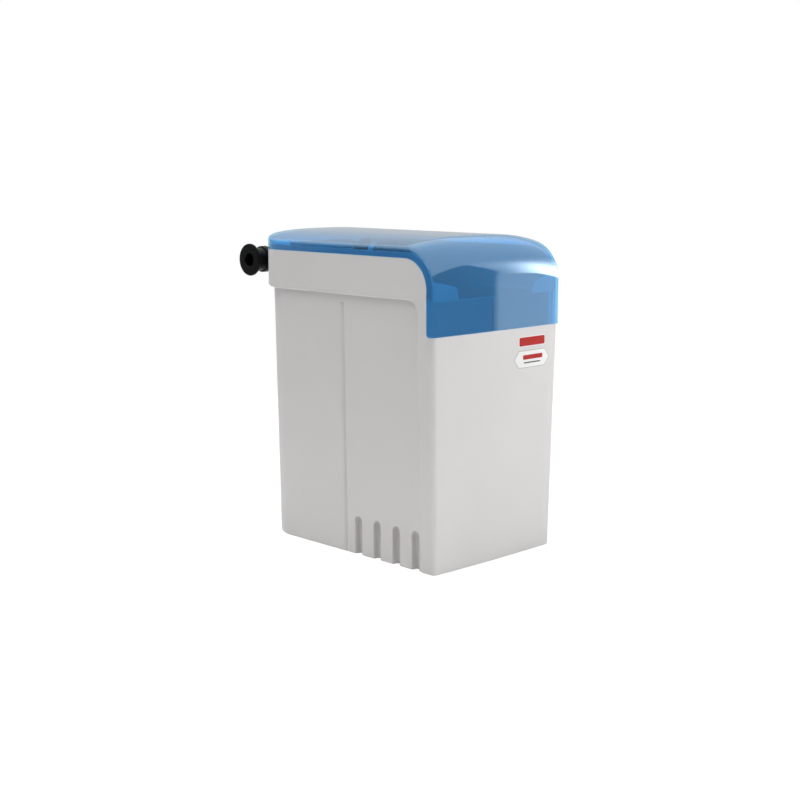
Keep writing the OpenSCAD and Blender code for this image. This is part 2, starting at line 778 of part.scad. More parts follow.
// Perforated platform that the salt blocks stand on, carried by the flutes' bumps
module salt_platform() {
    half = panel_half(platform_z) - wall - edge_gap;
    front = front_y(platform_z) + rim + edge_gap;
    back = partition_y - partition_t / 2 - guide_rib_t - 2 * seat_fit - edge_gap / 2;
    middle = (front + back) / 2;
    columns = floor((half - platform_pitch / 2) / platform_pitch);
    rows = floor((back - front - platform_pitch / 2) / platform_pitch);
    color("white") difference() {
        translate([-half, front, platform_z]) cube([2 * half, back - front, platform_t]);
        for (i = [-columns:columns], j = [0:rows - 1])
            translate([i * platform_pitch, middle + (j - (rows - 1) / 2) * platform_pitch, platform_z - eps])
                cylinder(h = platform_t + 2 * eps, r = platform_hole_r);
    }
}

// Brine well with slots at its foot, its cap, and the valve, tube and float inside it
module brine_well() {
    slot_w = 6;
    slot_h = 40;
    color("white") translate([0, well_y, wall]) difference() {
        cylinder(h = well_h, r = well_r);
        translate([0, 0, -eps]) cylinder(h = well_h + 2 * eps, r = well_r - well_wall);
        for (turn = [0:45:315]) rotate([0, 0, turn])
            translate([0, -slot_w / 2, 2 * slot_w]) cube([well_r + eps, slot_w, slot_h]);
    }
}

cap_top_t = 4;
module brine_well_cap() {
    skirt_h = 14;
    color("white") translate([0, well_y, wall + well_h - skirt_h]) difference() {
        cylinder(h = skirt_h + cap_top_t, r = well_r + well_wall);
        translate([0, 0, -eps]) cylinder(h = skirt_h + eps, r = well_r + seat_fit);
        cylinder(h = skirt_h + 2 * cap_top_t, r = tube_r + shaft_fit);
    }
}

module brine_valve() {
    foot_r = valve_r + 6;
    foot_t = 4;
    waist_r = valve_r - 4;
    waist_low = 8;
    waist_high = 20;
    body_low = 24;
    body_high = valve_h - 14;
    spout_r = tube_r + 3;
    spout_low = valve_h - 6;
    color("dimgray") translate([0, well_y, wall]) rotate_extrude() polygon([
        [0, 0], [foot_r, 0], [foot_r, foot_t], [waist_r, waist_low], [waist_r, waist_high],
        [valve_r, body_low], [valve_r, body_high], [spout_r, spout_low], [spout_r, valve_h], [0, valve_h]]);
}

module brine_tube_path(r) {
    start_z = wall + valve_h;
    bend_z = tube_top_z - tube_bend_r;
    end_y = deck_front_y - nipple_len;
    translate([0, well_y, start_z]) cylinder(h = bend_z - start_z, r = r);
    translate([0, well_y + tube_bend_r, bend_z]) rotate([90, 0, -90]) rotate_extrude(angle = 90)
        translate([tube_bend_r, 0]) circle(r);
    translate([0, well_y + tube_bend_r, tube_top_z])
        rotate([-90, 0, 0]) cylinder(h = end_y - well_y - tube_bend_r, r = r);
}

module brine_tube() {
    color("whitesmoke") difference() {
        brine_tube_path(tube_r);
        brine_tube_path(tube_bore_r);
    }
}

stop_t = 5;
stop_rim = 4;
module float_stop() {
    color("dimgray") translate([0, well_y, wall + float_stop_z]) difference() {
        cylinder(h = stop_t, r = tube_r + stop_rim);
        translate([0, 0, -eps]) cylinder(h = stop_t + 2 * eps, r = tube_r);
    }
}

module float() {
    round = 6;
    color("orange") translate([0, well_y, wall + float_stop_z + stop_t]) rotate_extrude() polygon(concat(
        [[tube_r + slide_fit, 0]],
        arc_points(float_r - round, round, round, -90, 0, 5),
        arc_points(float_r - round, float_h - round, round, 0, 90, 5),
        [[tube_r + slide_fit, float_h]]));
}

// Overflow through the rear wall: flanged spigot outside, gasket and nut inside
module overflow_spigot() {
    outer = overflow_wall_y + overflow_lean;
    spigot_wall = 2.5;
    bore = overflow_r - spigot_wall;
    color("dimgray") translate([0, 0, overflow_z]) rotate([-90, 0, 0]) difference() {
        union() {
            translate([0, 0, overflow_thread_end])
                cylinder(h = outer - overflow_thread_end + eps, r = overflow_thread_r);
            translate([0, 0, outer]) cylinder(h = overflow_flange_t, r = overflow_flange_r);
            translate([0, 0, outer + overflow_flange_t - eps])
                cylinder(h = overflow_len + eps, r = overflow_r);
        }
        translate([0, 0, overflow_thread_end - eps])
            cylinder(h = outer - overflow_thread_end + overflow_flange_t + overflow_len + 2 * eps, r = bore);
    }
}

module overflow_gasket() {
    color("black") translate([0, overflow_inner_y - gasket_t, overflow_z]) rotate([-90, 0, 0]) difference() {
        cylinder(h = gasket_t, r = overflow_flange_r);
        translate([0, 0, -eps]) cylinder(h = gasket_t + 2 * eps, r = overflow_thread_r + seat_fit);
    }
}

module overflow_nut() {
    across_corners = 2.4 * overflow_flange_r;
    nut_y = overflow_inner_y - gasket_t - nut_t;
    color("dimgray") translate([0, nut_y, overflow_z]) rotate([-90, 0, 0]) difference() {
        cylinder(h = nut_t, d = across_corners, $fn = 6);
        translate([0, 0, -eps]) cylinder(h = nut_t + 2 * eps, r = overflow_thread_r + shaft_fit);
    }
}

// Softening cylinders: shell, resin, riser and strainer in each, sealed at the neck
module at_cylinder(side) { translate([side * cylinder_x, cylinder_y, 0]) children(); }

function cylinder_outline(depth) =
    let (r = cylinder_r - depth, neck = neck_r - depth, dome_z = cylinder_h - neck_h,
        top_z = cylinder_h + (depth > 0 ? eps : 0))
    concat([[0, depth]],
        arc_points(r - cylinder_base_r + depth, cylinder_base_r, cylinder_base_r - depth, -90, 0, 5),
        arc_points(r - cylinder_dome_r + depth, dome_z - cylinder_dome_r, cylinder_dome_r - depth, 0, 90, 5),
        [[neck, dome_z - depth], [neck, top_z], [0, top_z]]);

module resin_cylinder() {
    rib_t = 4;
    translate([0, 0, wall]) rotate_extrude() difference() {
        union() {
            polygon(cylinder_outline(0));
            for (share = [0.25, 0.5, 0.75])
                translate([cylinder_r - eps, cylinder_h * share - rib_t / 2]) square([rib_rise + eps, rib_t]);
        }
        polygon(cylinder_outline(cylinder_wall));
    }
}

module resin_bed() {
    r = cylinder_r - cylinder_wall - seat_fit;
    foot = wall + cylinder_base_r;
    difference() {
        translate([0, 0, foot]) cylinder(h = resin_h, r = r);
        translate([0, 0, foot - eps]) cylinder(h = resin_h + 2 * eps, r = riser_r + seat_fit);
        translate([0, 0, foot - eps])
            cylinder(h = strainer_z + strainer_h + seat_fit - foot + eps, r = strainer_r + seat_fit);
    }
}

riser_foot_z = strainer_z + strainer_h;
module riser_tube() {
    difference() {
        translate([0, 0, riser_foot_z]) cylinder(h = wall + cylinder_h - riser_foot_z, r = riser_r);
        translate([0, 0, riser_foot_z - eps]) cylinder(h = cylinder_h, r = riser_r - riser_wall);
    }
}

module bottom_strainer() {
    slot_t = 1.6;
    slot_depth = 3;
    slot_count = 7;
    difference() {
        translate([0, 0, strainer_z - strainer_foot])
            cylinder(h = strainer_h + strainer_foot, r = strainer_r);
        translate([0, 0, strainer_z + riser_wall]) cylinder(h = strainer_h, r = riser_r - riser_wall);
        for (i = [1:slot_count])
            translate([0, 0, strainer_z + strainer_h * i / (slot_count + 1)])
                difference() {
                    cylinder(h = slot_t, r = strainer_r + eps, center = true);
                    cylinder(h = 2 * slot_t, r = strainer_r - slot_depth, center = true);
                }
    }
}

module neck_seal() {
    reach = cylinder_wall + 3;
    translate([0, 0, wall + cylinder_h]) difference() {
        cylinder(h = neck_seal_t, r = neck_r);
        translate([0, 0, -eps]) cylinder(h = neck_seal_t + 2 * eps, r = neck_r - reach);
    }
}

module resin_cylinder_left() { color("lightsteelblue") at_cylinder(-1) resin_cylinder(); }
module resin_cylinder_right() { color("lightsteelblue") at_cylinder(1) resin_cylinder(); }
module resin_bed_left() { color("peru") at_cylinder(-1) resin_bed(); }
module resin_bed_right() { color("peru") at_cylinder(1) resin_bed(); }
module riser_tube_left() { color("white") at_cylinder(-1) riser_tube(); }
module riser_tube_right() { color("white") at_cylinder(1) riser_tube(); }
module bottom_strainer_left() { color("white") at_cylinder(-1) bottom_strainer(); }
module bottom_strainer_right() { color("white") at_cylinder(1) bottom_strainer(); }
module neck_seal_left() { color("black") at_cylinder(-1) neck_seal(); }
module neck_seal_right() { color("black") at_cylinder(1) neck_seal(); }

// Valve manifold: cups over the necks, elbows to the ports, piston block and the meter's deck
module cover_screw_places() {
    for (x = [deck_left_x + screw_land / 2, deck_right_x - screw_land / 2], way = [-1, 1])
        translate([x, meter_y + way * screw_spread, meter_deck_z]) children();
}
module valve_manifold() {
    color("dimgray") difference() {
        union() {
            for (side = [-1, 1]) {
                at_cylinder(side) translate([0, 0, roof_z - cup_h])
                    cylinder(h = cup_h + plate_t, r = neck_r + cup_wall);
                translate([side * port_x, elbow_y, roof_z]) cylinder(h = port_z - roof_z, r = elbow_r);
                translate([side * port_x, elbow_y, port_z]) sphere(elbow_r);
                translate([side * port_x, elbow_y, port_z]) rotate([-90, 0, 0])
                    cylinder(h = socket_end_y - elbow_y, r = elbow_r);
            }
            translate([-port_x, cylinder_y - elbow_r, roof_z]) cube([2 * port_x, 2 * elbow_r, plate_t]);
            translate([-piston_half, cylinder_y - piston_bore_r - piston_wall, roof_z])
                cube([2 * piston_half, 2 * (piston_bore_r + piston_wall), meter_deck_z - roof_z]);
            translate([deck_left_x, deck_front_y, meter_deck_z - deck_t])
                cube([deck_right_x - deck_left_x, deck_back_y - deck_front_y, deck_t]);
            translate([turbine_x, meter_y, turbine_floor_z - turbine_floor])
                cylinder(h = turbine_depth, r = turbine_chamber_r + 2 * cover_t);
            translate([0, deck_front_y + eps, tube_top_z])
                rotate([90, 0, 0]) cylinder(h = nipple_len + eps, r = tube_r);
        }
        for (side = [-1, 1]) {
            at_cylinder(side) translate([0, 0, roof_z - cup_h - eps])
                cylinder(h = cup_h + eps, r = neck_r + seat_fit);
            translate([side * port_x, socket_end_y - socket_depth, port_z])
                rotate([-90, 0, 0]) cylinder(h = socket_depth + eps, r = socket_r);
        }
        translate([0, cylinder_y, piston_z]) rotate([0, 90, 0])
            cylinder(h = 2 * piston_half + 2 * eps, r = piston_bore_r, center = true);
        translate([turbine_x, meter_y, turbine_floor_z]) cylinder(h = meter_deck_z, r = turbine_chamber_r);
        translate([turbine_x, meter_y, turbine_floor_z - pivot_depth])
            cylinder(h = meter_deck_z, r = shaft_r + shaft_fit);
        translate([idler_x, meter_y, meter_deck_z - idler_pin_depth])
            cylinder(h = idler_pin_depth + eps, r = idler_pin_r);
        translate([disc_x, meter_y, meter_deck_z - disc_shaft_depth])
            cylinder(h = disc_shaft_depth + eps, r = disc_shaft_r + shaft_fit);
        cover_screw_places() translate([0, 0, -cover_screw_depth])
            cylinder(h = cover_screw_depth + eps, r = screw_r + 2 * shaft_fit);
    }
}

// Water meter: turbine in its chamber, and the gear train on the deck above
module bearing_plate() {
    color("whitesmoke") translate([turbine_x, meter_y, meter_deck_z - bearing_t]) difference() {
        cylinder(h = bearing_t, r = turbine_chamber_r - shaft_fit);
        translate([0, 0, -eps]) cylinder(h = bearing_t + 2 * eps, r = shaft_r + shaft_fit);
    }
}

module turbine() {
    vane_gap = 1.5;
    vane_r = turbine_chamber_r - vane_gap;
    vane_t = 1.6;
    hub_step = 1;
    pivot_z = turbine_floor_z - pivot_depth + end_play;
    foot_z = turbine_floor_z + hub_step;
    hub_h = meter_deck_z - bearing_t - hub_step - foot_z;
    color("white") translate([turbine_x, meter_y, 0]) {
        translate([0, 0, pivot_z]) cylinder(h = low_gear_z + gear_t - pivot_z, r = shaft_r);
        translate([0, 0, foot_z]) cylinder(h = hub_h, r = 2 * shaft_r);
        for (i = [0:vane_count - 1]) rotate([0, 0, 360 * i / vane_count])
            translate([shaft_r, -vane_t / 2, foot_z + hub_step])
                cube([vane_r - shaft_r, vane_t, hub_h - 2 * hub_step]);
    }
}

// Involute gear outline, tooth centred on +X
pressure_angle = 20;
addendum = 0.95;
dedendum = 1.25;
root_flare = 1;
flank_steps = 4;
function involute_turn(r, base) = r <= base ? 0 : let (t = sqrt(pow(r / base, 2) - 1)) t * 180 / PI - atan(t);
function gear_outline(teeth) =
    let (pitch = pitch_r(teeth), base = pitch * cos(pressure_angle), tip = pitch + gear_module * addendum,
        root = pitch - gear_module * dedendum, low = max(base, root),
        half_turn = 90 / teeth - backlash / 4 / pitch * 180 / PI + involute_turn(pitch, base))
    [for (k = [0:teeth - 1]) let (mid = 360 * k / teeth) each concat(
        [[root, mid - half_turn - root_flare]],
        [for (i = [0:flank_steps]) let (r = low + (tip - low) * i / flank_steps)
            [r, mid - half_turn + involute_turn(r, base)]],
        [for (i = [flank_steps:-1:0]) let (r = low + (tip - low) * i / flank_steps)
            [r, mid + half_turn - involute_turn(r, base)]],
        [[root, mid + half_turn + root_flare]])];

module gear(teeth, thickness, turn) {
    rotate([0, 0, turn]) linear_extrude(height = thickness)
        polygon([for (p = gear_outline(teeth)) [p[0] * cos(p[1]), p[0] * sin(p[1])]]);
}

// Gears of the train: a gear driven from its left is turned so that a gap takes its neighbour's tooth
module drive_pinion() {
    color("ivory") translate([turbine_x, meter_y, low_gear_z]) difference() {
        gear(pinion_teeth, gear_t, 0);
        translate([0, 0, -eps]) cylinder(h = gear_t + 2 * eps, r = shaft_r);
    }
}

module idler_gear() {
    color("ivory") translate([idler_x, meter_y, low_gear_z]) difference() {
        union() {
            gear(idler_teeth, gear_t, 180 + 180 / idler_teeth);
            translate([0, 0, gear_t - eps])
                cylinder(h = gear_gap + 2 * eps, r = pitch_r(pinion_teeth) - 2 * gear_module);
            translate([0, 0, gear_t + gear_gap]) gear(pinion_teeth, gear_t, 0);
        }
        translate([0, 0, -eps]) cylinder(h = 3 * gear_t, r = idler_pin_r + shaft_fit);
    }
}

module idler_pin() {
    color("silver") translate([idler_x, meter_y, meter_deck_z - idler_pin_depth])
        cylinder(h = idler_pin_depth + 2 * gear_t + 3 * gear_gap, r = idler_pin_r);
}

// Meter disc: gear rim, windowed web and a slotted head for turning it by hand
module meter_disc() {
    window_r = 5;
    window_ring_r = pitch_r(disc_teeth) * 0.6;
    head_rise = 1;
    slot_w = 1.6;
    slot_depth = 2.5;
    color("royalblue") translate([disc_x, meter_y, 0]) difference() {
        union() {
            translate([0, 0, high_gear_z]) gear(disc_teeth, gear_t, 180 + 180 / disc_teeth);
            translate([0, 0, meter_deck_z - disc_shaft_depth + eps])
                cylinder(h = high_gear_z - meter_deck_z + disc_shaft_depth, r = disc_shaft_r);
            translate([0, 0, low_gear_z]) cylinder(h = high_gear_z - low_gear_z + eps, r = 2 * disc_shaft_r);
            translate([0, 0, high_gear_z])
                cylinder(h = cover_top_z - high_gear_z + head_rise, r = disc_head_r);
        }
        for (turn = [0:60:300]) rotate([0, 0, turn]) translate([window_ring_r, 0, high_gear_z - eps])
            cylinder(h = gear_t + 2 * eps, r = window_r);
        translate([-disc_head_r, -slot_w / 2, cover_top_z + head_rise - slot_depth])
            cube([2 * disc_head_r, slot_w, slot_depth + eps]);
    }
}

// Clear cover over the gear train, held by four screws
cover_flange_t = 3;
module meter_cover() {
    inner_w = cover_right_x - cover_left_x;
    inner_d = cover_back_y - cover_front_y;
    color([0.85, 0.9, 0.95, 0.4]) difference() {
        union() {
            translate([deck_left_x, deck_front_y, meter_deck_z])
                cube([deck_right_x - deck_left_x, deck_back_y - deck_front_y, cover_flange_t]);
            translate([cover_left_x - cover_t, cover_front_y - cover_t, meter_deck_z])
                cube([inner_w + 2 * cover_t, inner_d + 2 * cover_t, cover_top_z - meter_deck_z]);
        }
        translate([cover_left_x, cover_front_y, meter_deck_z - eps])
            cube([inner_w, inner_d, cover_top_z - cover_t - meter_deck_z + eps]);
        translate([disc_x, meter_y, meter_deck_z]) cylinder(h = cover_top_z, r = disc_head_r + slide_fit);
        cover_screw_places() cylinder(h = 2 * cover_flange_t, r = screw_r + 2 * shaft_fit);
        cover_screw_places() translate([0, 0, cover_flange_t])
            cylinder(h = cover_top_z, r = screw_head_r + seat_fit);
    }
}

module cover_screws() {
    color("silver") cover_screw_places() translate([0, 0, cover_flange_t])
        screw(cover_flange_t + cover_screw_depth - 2 * gear_gap);
}

// Changeover piston in its bore, sealed by rings and closed by a cap at each end
seal_r = 1.4;
seal_places = [-0.36, -0.12, 0.12, 0.36];
channel_places = [-0.24, 0, 0.24];
channel_w = 5;
channel_depth = 5;
module along_piston() { translate([0, cylinder_y, piston_z]) rotate([0, 90, 0]) children(); }

module changeover_piston() {
    color("whitesmoke") along_piston() difference() {
        cylinder(h = piston_len, r = piston_bore_r - shaft_fit, center = true);
        for (share = seal_places) translate([0, 0, share * piston_len]) difference() {
            cylinder(h = 2.4 * seal_r, r = piston_bore_r, center = true);
            cylinder(h = 4 * seal_r, r = piston_bore_r - 2 * seal_r - 2 * shaft_fit, center = true);
        }
        for (share = channel_places) translate([0, 0, share * piston_len]) difference() {
            cylinder(h = channel_w, r = piston_bore_r, center = true);
            cylinder(h = channel_w + 2 * eps, r = piston_bore_r - channel_depth, center = true);
        }
    }
}

module piston_seals() {
    color("black") along_piston() for (share = seal_places) translate([0, 0, share * piston_len])
        rotate_extrude() translate([piston_bore_r - seal_r - 1.5 * shaft_fit, 0]) circle(seal_r);
}

module piston_cap() {
    plug = 9;
    lip = 1.5;
    lip_t = 4;
    color("dimgray") along_piston() translate([0, 0, piston_half - plug]) {
        cylinder(h = plug + eps, r = piston_bore_r - shaft_fit);
        translate([0, 0, plug]) cylinder(h = lip_t, r = piston_bore_r + lip);
    }
}
module piston_cap_left() { mirror([1, 0, 0]) piston_cap(); }
module piston_cap_right() { piston_cap(); }

// Ports: spigot in the manifold's socket, tube through the rear wall, elbow, and an arm towards the side
port_mouth = 1;

// Solid of the spigot and the tube behind the cabinet, along its axis
function spigot_outline() =
    let (tip_chamfer = 1, start = socket_end_y - socket_depth + tip_chamfer, collar = socket_end_y + seat_fit,
        seat_r = spigot_r - 2 * port_seal_r, seat_half = 1.2 * port_seal_r)
    [[0, start], [spigot_r - tip_chamfer, start], [spigot_r, start + 2 * tip_chamfer],
        [spigot_r, port_seal_y - seat_half], [seat_r, port_seal_y - seat_half],
        [seat_r, port_seal_y + seat_half], [spigot_r, port_seal_y + seat_half],
        [spigot_r, collar], [elbow_r, collar], [elbow_r, collar + port_collar_t],
        [port_r, collar + port_collar_t], [port_r, arm_y], [0, arm_y]];

// Solid of the arm with its ring, neck and end flange, from the elbow outwards
function arm_outline() =
    let (flange = arm_len - flange_t, ring = flange - ring_back - ring_len, ring_round = 2, neck_fillet = 2,
        rim_round = 0.4 * flange_t)
    concat([[0, 0], [port_r, 0], [port_r, ring]],
        arc_points(ring_r - ring_round, ring + ring_round, ring_round, -90, 0, edge_steps),
        arc_points(ring_r - ring_round, ring + ring_len - ring_round, ring_round, 0, 90, edge_steps),
        [[port_r, ring + ring_len]],
        arc_points(port_r + neck_fillet, flange - neck_fillet, neck_fillet, 180, 90, edge_steps),
        arc_points(flange_r - rim_round, flange + rim_round, rim_round, -90, 0, edge_steps),
        arc_points(flange_r - rim_round, arm_len - rim_round, rim_round, 0, 90, edge_steps),
        [[0, arm_len]]);

module port() {
    socket_foot = arm_len - port_mouth - pipe_depth;
    color([0.08, 0.08, 0.09]) translate([port_x, 0, port_z]) difference() {
        union() {
            rotate([-90, 0, 0]) rotate_extrude() polygon(spigot_outline());
            translate([0, arm_y, 0]) sphere(port_r);
            translate([0, arm_y, 0]) rotate([0, 90, 0]) rotate_extrude() polygon(arm_outline());
        }
        rotate([-90, 0, 0]) cylinder(h = arm_y, r = port_bore_r);
        translate([0, arm_y, 0]) sphere(port_bore_r);
        translate([0, arm_y, 0]) rotate([0, 90, 0]) {
            cylinder(h = arm_len, r = port_bore_r);
            translate([0, 0, socket_foot]) cylinder(h = arm_len, r = pipe_r);
            translate([0, 0, arm_len - port_mouth])
                cylinder(h = 2 * port_mouth, r1 = pipe_r, r2 = pipe_r + 2 * port_mouth);
        }
    }
}
module inlet_port() { mirror([1, 0, 0]) port(); }
module outlet_port() { port(); }

// Spring clip round the port's collar and the socket's end
module port_clip() {
    clip_t = 2.5;
    start_y = socket_end_y - port_collar_t;
    length = 2 * port_collar_t + seat_fit;
    color("silver") translate([port_x, start_y, port_z]) rotate([-90, 0, 0])
        rotate([0, 0, 135]) rotate_extrude(angle = 270)
            translate([elbow_r + 2 * shaft_fit, 0]) square([clip_t, length]);
}
module inlet_clip() { mirror([1, 0, 0]) port_clip(); }
module outlet_clip() { port_clip(); }

module port_seals() {
    color("black") for (side = [-1, 1]) translate([side * port_x, port_seal_y, port_z]) rotate([-90, 0, 0])
        rotate_extrude() translate([spigot_r - port_seal_r + shaft_fit, 0]) circle(port_seal_r);
}

// Drain spigot from the piston block out through the rear wall, with a stop for its hose
module drain_spigot() {
    start_y = cylinder_y + piston_bore_r + piston_wall;
    length = half_d + drain_reach - start_y;
    foot_t = 4;
    stop_y = half_d + port_hole_gap;
    stop_len = 3;
    bore = drain_r - 2;
    color("dimgray") translate([0, start_y, drain_z]) rotate([-90, 0, 0]) difference() {
        union() {
            cylinder(h = length, r = drain_r);
            cylinder(h = foot_t, r = drain_r + foot_t);
            translate([0, 0, stop_y - start_y]) cylinder(h = stop_len, r = drain_r + stop_len);
        }
        translate([0, 0, foot_t]) cylinder(h = length, r = bore);
    }
}

cabinet();
lid();
hinge_bracket_left();
hinge_bracket_right();
hinge_arm_left();
hinge_arm_right();
hinge_pin_left();
hinge_pin_right();
hinge_screws();
partition();
salt_platform();
brine_well();
brine_well_cap();
brine_valve();
brine_tube();
float();
float_stop();
overflow_spigot();
overflow_gasket();
overflow_nut();
drain_spigot();
resin_cylinder_left();
resin_cylinder_right();
resin_bed_left();
resin_bed_right();
riser_tube_left();
riser_tube_right();
bottom_strainer_left();
bottom_strainer_right();
neck_seal_left();
neck_seal_right();
valve_manifold();
bearing_plate();
turbine();
drive_pinion();
idler_pin();
idler_gear();
meter_disc();
meter_cover();
cover_screws();
changeover_piston();
piston_seals();
piston_cap_left();
piston_cap_right();
inlet_port();
outlet_port();
inlet_clip();
outlet_clip();
port_seals();
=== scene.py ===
import json
import math

import bmesh
import bpy
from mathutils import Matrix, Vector


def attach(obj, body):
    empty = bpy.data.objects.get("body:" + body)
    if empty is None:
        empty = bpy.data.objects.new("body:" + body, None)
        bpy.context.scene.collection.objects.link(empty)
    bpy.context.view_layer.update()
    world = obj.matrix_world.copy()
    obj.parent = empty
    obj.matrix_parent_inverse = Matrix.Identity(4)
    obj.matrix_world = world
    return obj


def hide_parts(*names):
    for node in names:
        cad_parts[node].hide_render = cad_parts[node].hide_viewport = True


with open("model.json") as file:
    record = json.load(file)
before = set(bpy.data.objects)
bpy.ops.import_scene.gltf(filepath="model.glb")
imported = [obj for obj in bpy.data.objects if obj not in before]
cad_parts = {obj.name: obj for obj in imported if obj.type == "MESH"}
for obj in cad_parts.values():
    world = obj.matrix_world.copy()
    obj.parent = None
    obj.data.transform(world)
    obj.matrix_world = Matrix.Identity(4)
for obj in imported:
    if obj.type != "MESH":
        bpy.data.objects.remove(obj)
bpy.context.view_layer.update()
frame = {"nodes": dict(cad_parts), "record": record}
scene = bpy.context.scene
MM = 0.001

# Main sizes of the cabinet, in millimetres
HALF_W = 142.5
HALF_D = 203.0
SHOULDER_Z = 470.5
COLLAR_Z = 415.0
COLLAR_SLOPE = 6.0
PANEL_INSET = 5.0
SIDE_DRAFT = 6.0
PILLAR_DRAFT = 9.0
FRONT_DRAFT = 4.0
REAR_DRAFT = 3.0
FRONT_BOW = 2.5
REAR_R = 55.0
PANEL_R = 60.0
FRONT_R = 8.0
BASE_R = 3.0
WALL = 5.0
RIM = 6.5
INNER_CHAMFER = 6.0
PILLAR_W = 29.0
RECESS_R = 24.0

# Flutes and groove
FLUTE_W = 16.0
FLUTE_PITCH = 42.0
FLUTE_COUNT = 4
FLUTE_TOP = 61.5
FLUTE_DEPTH = 11.0
FLUTE_START = 45.0
FLUTE_WALL = 4.0
FLUTE_BUMP = 12.5
FLUTE_FLOOR_R = 4.0
FLUTE_LIP_R = 1.8
GROOVE_OFFSET = 4.0
GROOVE_RAMP = 5.5
GROOVE_FLOOR = 2.4
GROOVE_DEPTH = 3.4
GROOVE_GAP = 17.0
GROOVE_OUT = 2.0

# Lid
LID_WALL = 3.0
LID_SKIRT = 16.0
LID_CROWN = 13.5
CROWN_POWER = 3.0
LID_EDGE_R = 4.0
LID_FRONT_R = 59.0
LID_FRONT_Z = 358.0
LID_FRONT_SKIRT = 13.5
SHOULDER_R = 45.0
LID_GAP = 0.3
LIP_H = 8.5
LIP_GAP = 1.0
CROWN_Z = SHOULDER_Z + LID_SKIRT + LID_CROWN
CLEAR_RISE = 40.0
CLEAR_Z = CROWN_Z + CLEAR_RISE
OPENING_Y = -HALF_D + LID_FRONT_SKIRT
OPENING_FOOT_R = 5.0
LID_FOOT_DROP = 20.0
LID_INNER_DROP = 30.0

# Partition guides inside, and openings through the rear wall
PARTITION_Y = -80.0
PARTITION_T = 4.0
PARTITION_TOP = 393.0
GUIDE_T = 3.0
GUIDE_REACH = 6.0
SEAT_FIT = 0.3
PORT_X = 90.0
PORT_Z = 450.5
PORT_R = 19.0
PORT_HOLE_GAP = 1.0
DRAIN_Z = 422.5
DRAIN_HOLE_R = 7.0
OVERFLOW_Z = 330.0
OVERFLOW_HOLE_R = 12.8
DRAIN_REACH = 20.0
OVERFLOW_REACH = 40.0
HOLE_OUT = 20.0

# Fineness of the curved outlines: steps are counts, turns and ends are degrees
CORNER_STEPS = 20
EDGE_STEPS = 6
BOW_STEPS = 16
SHOULDER_STEPS = 24
FLUTE_STEPS = 24
RECESS_STEPS = 96
ROD_STEPS = 48
NOTCH_STEPS = 40
FLOOR_STEPS = 64
LID_EDGE_STEPS = 5
LID_BEND_STEPS = 28
LID_FLAT_STEPS = 12
LID_CORNER_TURN = 6
LID_CORNER_END = 66
SMALL_TURN = 15
GROOVE_TURN = 12
GROOVE_END = 84

# Overlaps, smallest radii and widths of the softened edges
EPS = 0.5
LEAST_FRONT_R = 1.0
LEAST_FOOT_R = 0.5
CABINET_SOFT = 0.9
LID_SOFT = 0.35
NODE_SOFT = 0.3
LID_SOFT_ANGLE = 40
WELD_GAP = 0.01


def draft_share(z):
    return max(0.0, (COLLAR_Z - z) / COLLAR_Z)


def panel_half(z):
    return HALF_W - PANEL_INSET - SIDE_DRAFT * draft_share(z)


def pillar_half(z):
    return HALF_W - PILLAR_DRAFT * draft_share(z)


def front_y(z):
    return -HALF_D + FRONT_DRAFT * draft_share(z)


def rear_y(z):
    return HALF_D - PANEL_INSET - REAR_DRAFT * draft_share(z)


def arc(cx, cy, r, start, end, steps):
    points = []
    for i in range(steps + 1):
        a = math.radians(start + (end - start) * i / steps)
        points.append((cx + r * math.cos(a), cy + r * math.sin(a)))
    return points


def circle(cx, cy, r, steps):
    return arc(cx, cy, r, 0, 360 - 360 / steps, steps - 1)


def quarter_turn(step):
    """Angles in radians from 0 to a right angle."""
    return [math.radians(a) for a in range(0, 90 + 1, step)]


def front_run(w, yf, r):
    """Front of a plan outline from the left edge to the right one, bowed outwards."""
    run = arc(-(w - r), yf + r, r, 180, 270, EDGE_STEPS)
    run += [((w - r) * (2 * i / BOW_STEPS - 1), yf) for i in range(1, BOW_STEPS)]
    run += arc(w - r, yf + r, r, 270, 360, EDGE_STEPS)
    return [(x, y - FRONT_BOW * (1 - (x / w) ** 2)) for x, y in run]


def plan_outline(w, yf, yr, rf, rr):
    """Plan outline with small front corners and large rear corners."""
    right = arc(w - rr, yr - rr, rr, 0, 90, CORNER_STEPS)
    left = arc(-(w - rr), yr - rr, rr, 90, 180, CORNER_STEPS)
    return right + left + front_run(w, yf, rf)


def at_height(outline, z):
    return [(x, y, z) for x, y in outline]


def new_object(name, verts, faces):
    """Mesh object from points in millimetres, with its faces turned outwards."""
    mesh = bpy.data.meshes.new(name)
    mesh.from_pydata([(x * MM, y * MM, z * MM) for x, y, z in verts], [], faces)
    bm = bmesh.new()
    bm.from_mesh(mesh)
    bmesh.ops.recalc_face_normals(bm, faces=bm.faces)
    bm.to_mesh(mesh)
    bm.free()
    obj = bpy.data.objects.new(name, mesh)
    scene.collection.objects.link(obj)
    return obj


def loft(name, rings):
    """Closed solid through rings that have equal numbers of points."""
    n = len(rings[0])
    verts = [p for ring in rings for p in ring]
    faces = []
    for k in range(len(rings) - 1):
        for i in range(n):
            j = (i + 1) % n
            faces.append((k * n + i, k * n + j, (k + 1) * n + j, (k + 1) * n + i))
    faces.append(tuple(range(n)))
    faces.append(tuple((len(rings) - 1) * n + i for i in range(n)))
    return new_object(name, verts, faces)


def extruded(name, outline, axis, low, high):
    """Solid between two places on an axis, from an outline in the other two axes."""
    def place(p, along):
        if axis == "x":
            return (along, p[0], p[1])
        if axis == "y":
            return (p[0], along, p[1])
        return (p[0], p[1], along)
    return loft(name, [[place(p, low) for p in outline], [place(p, high) for p in outline]])


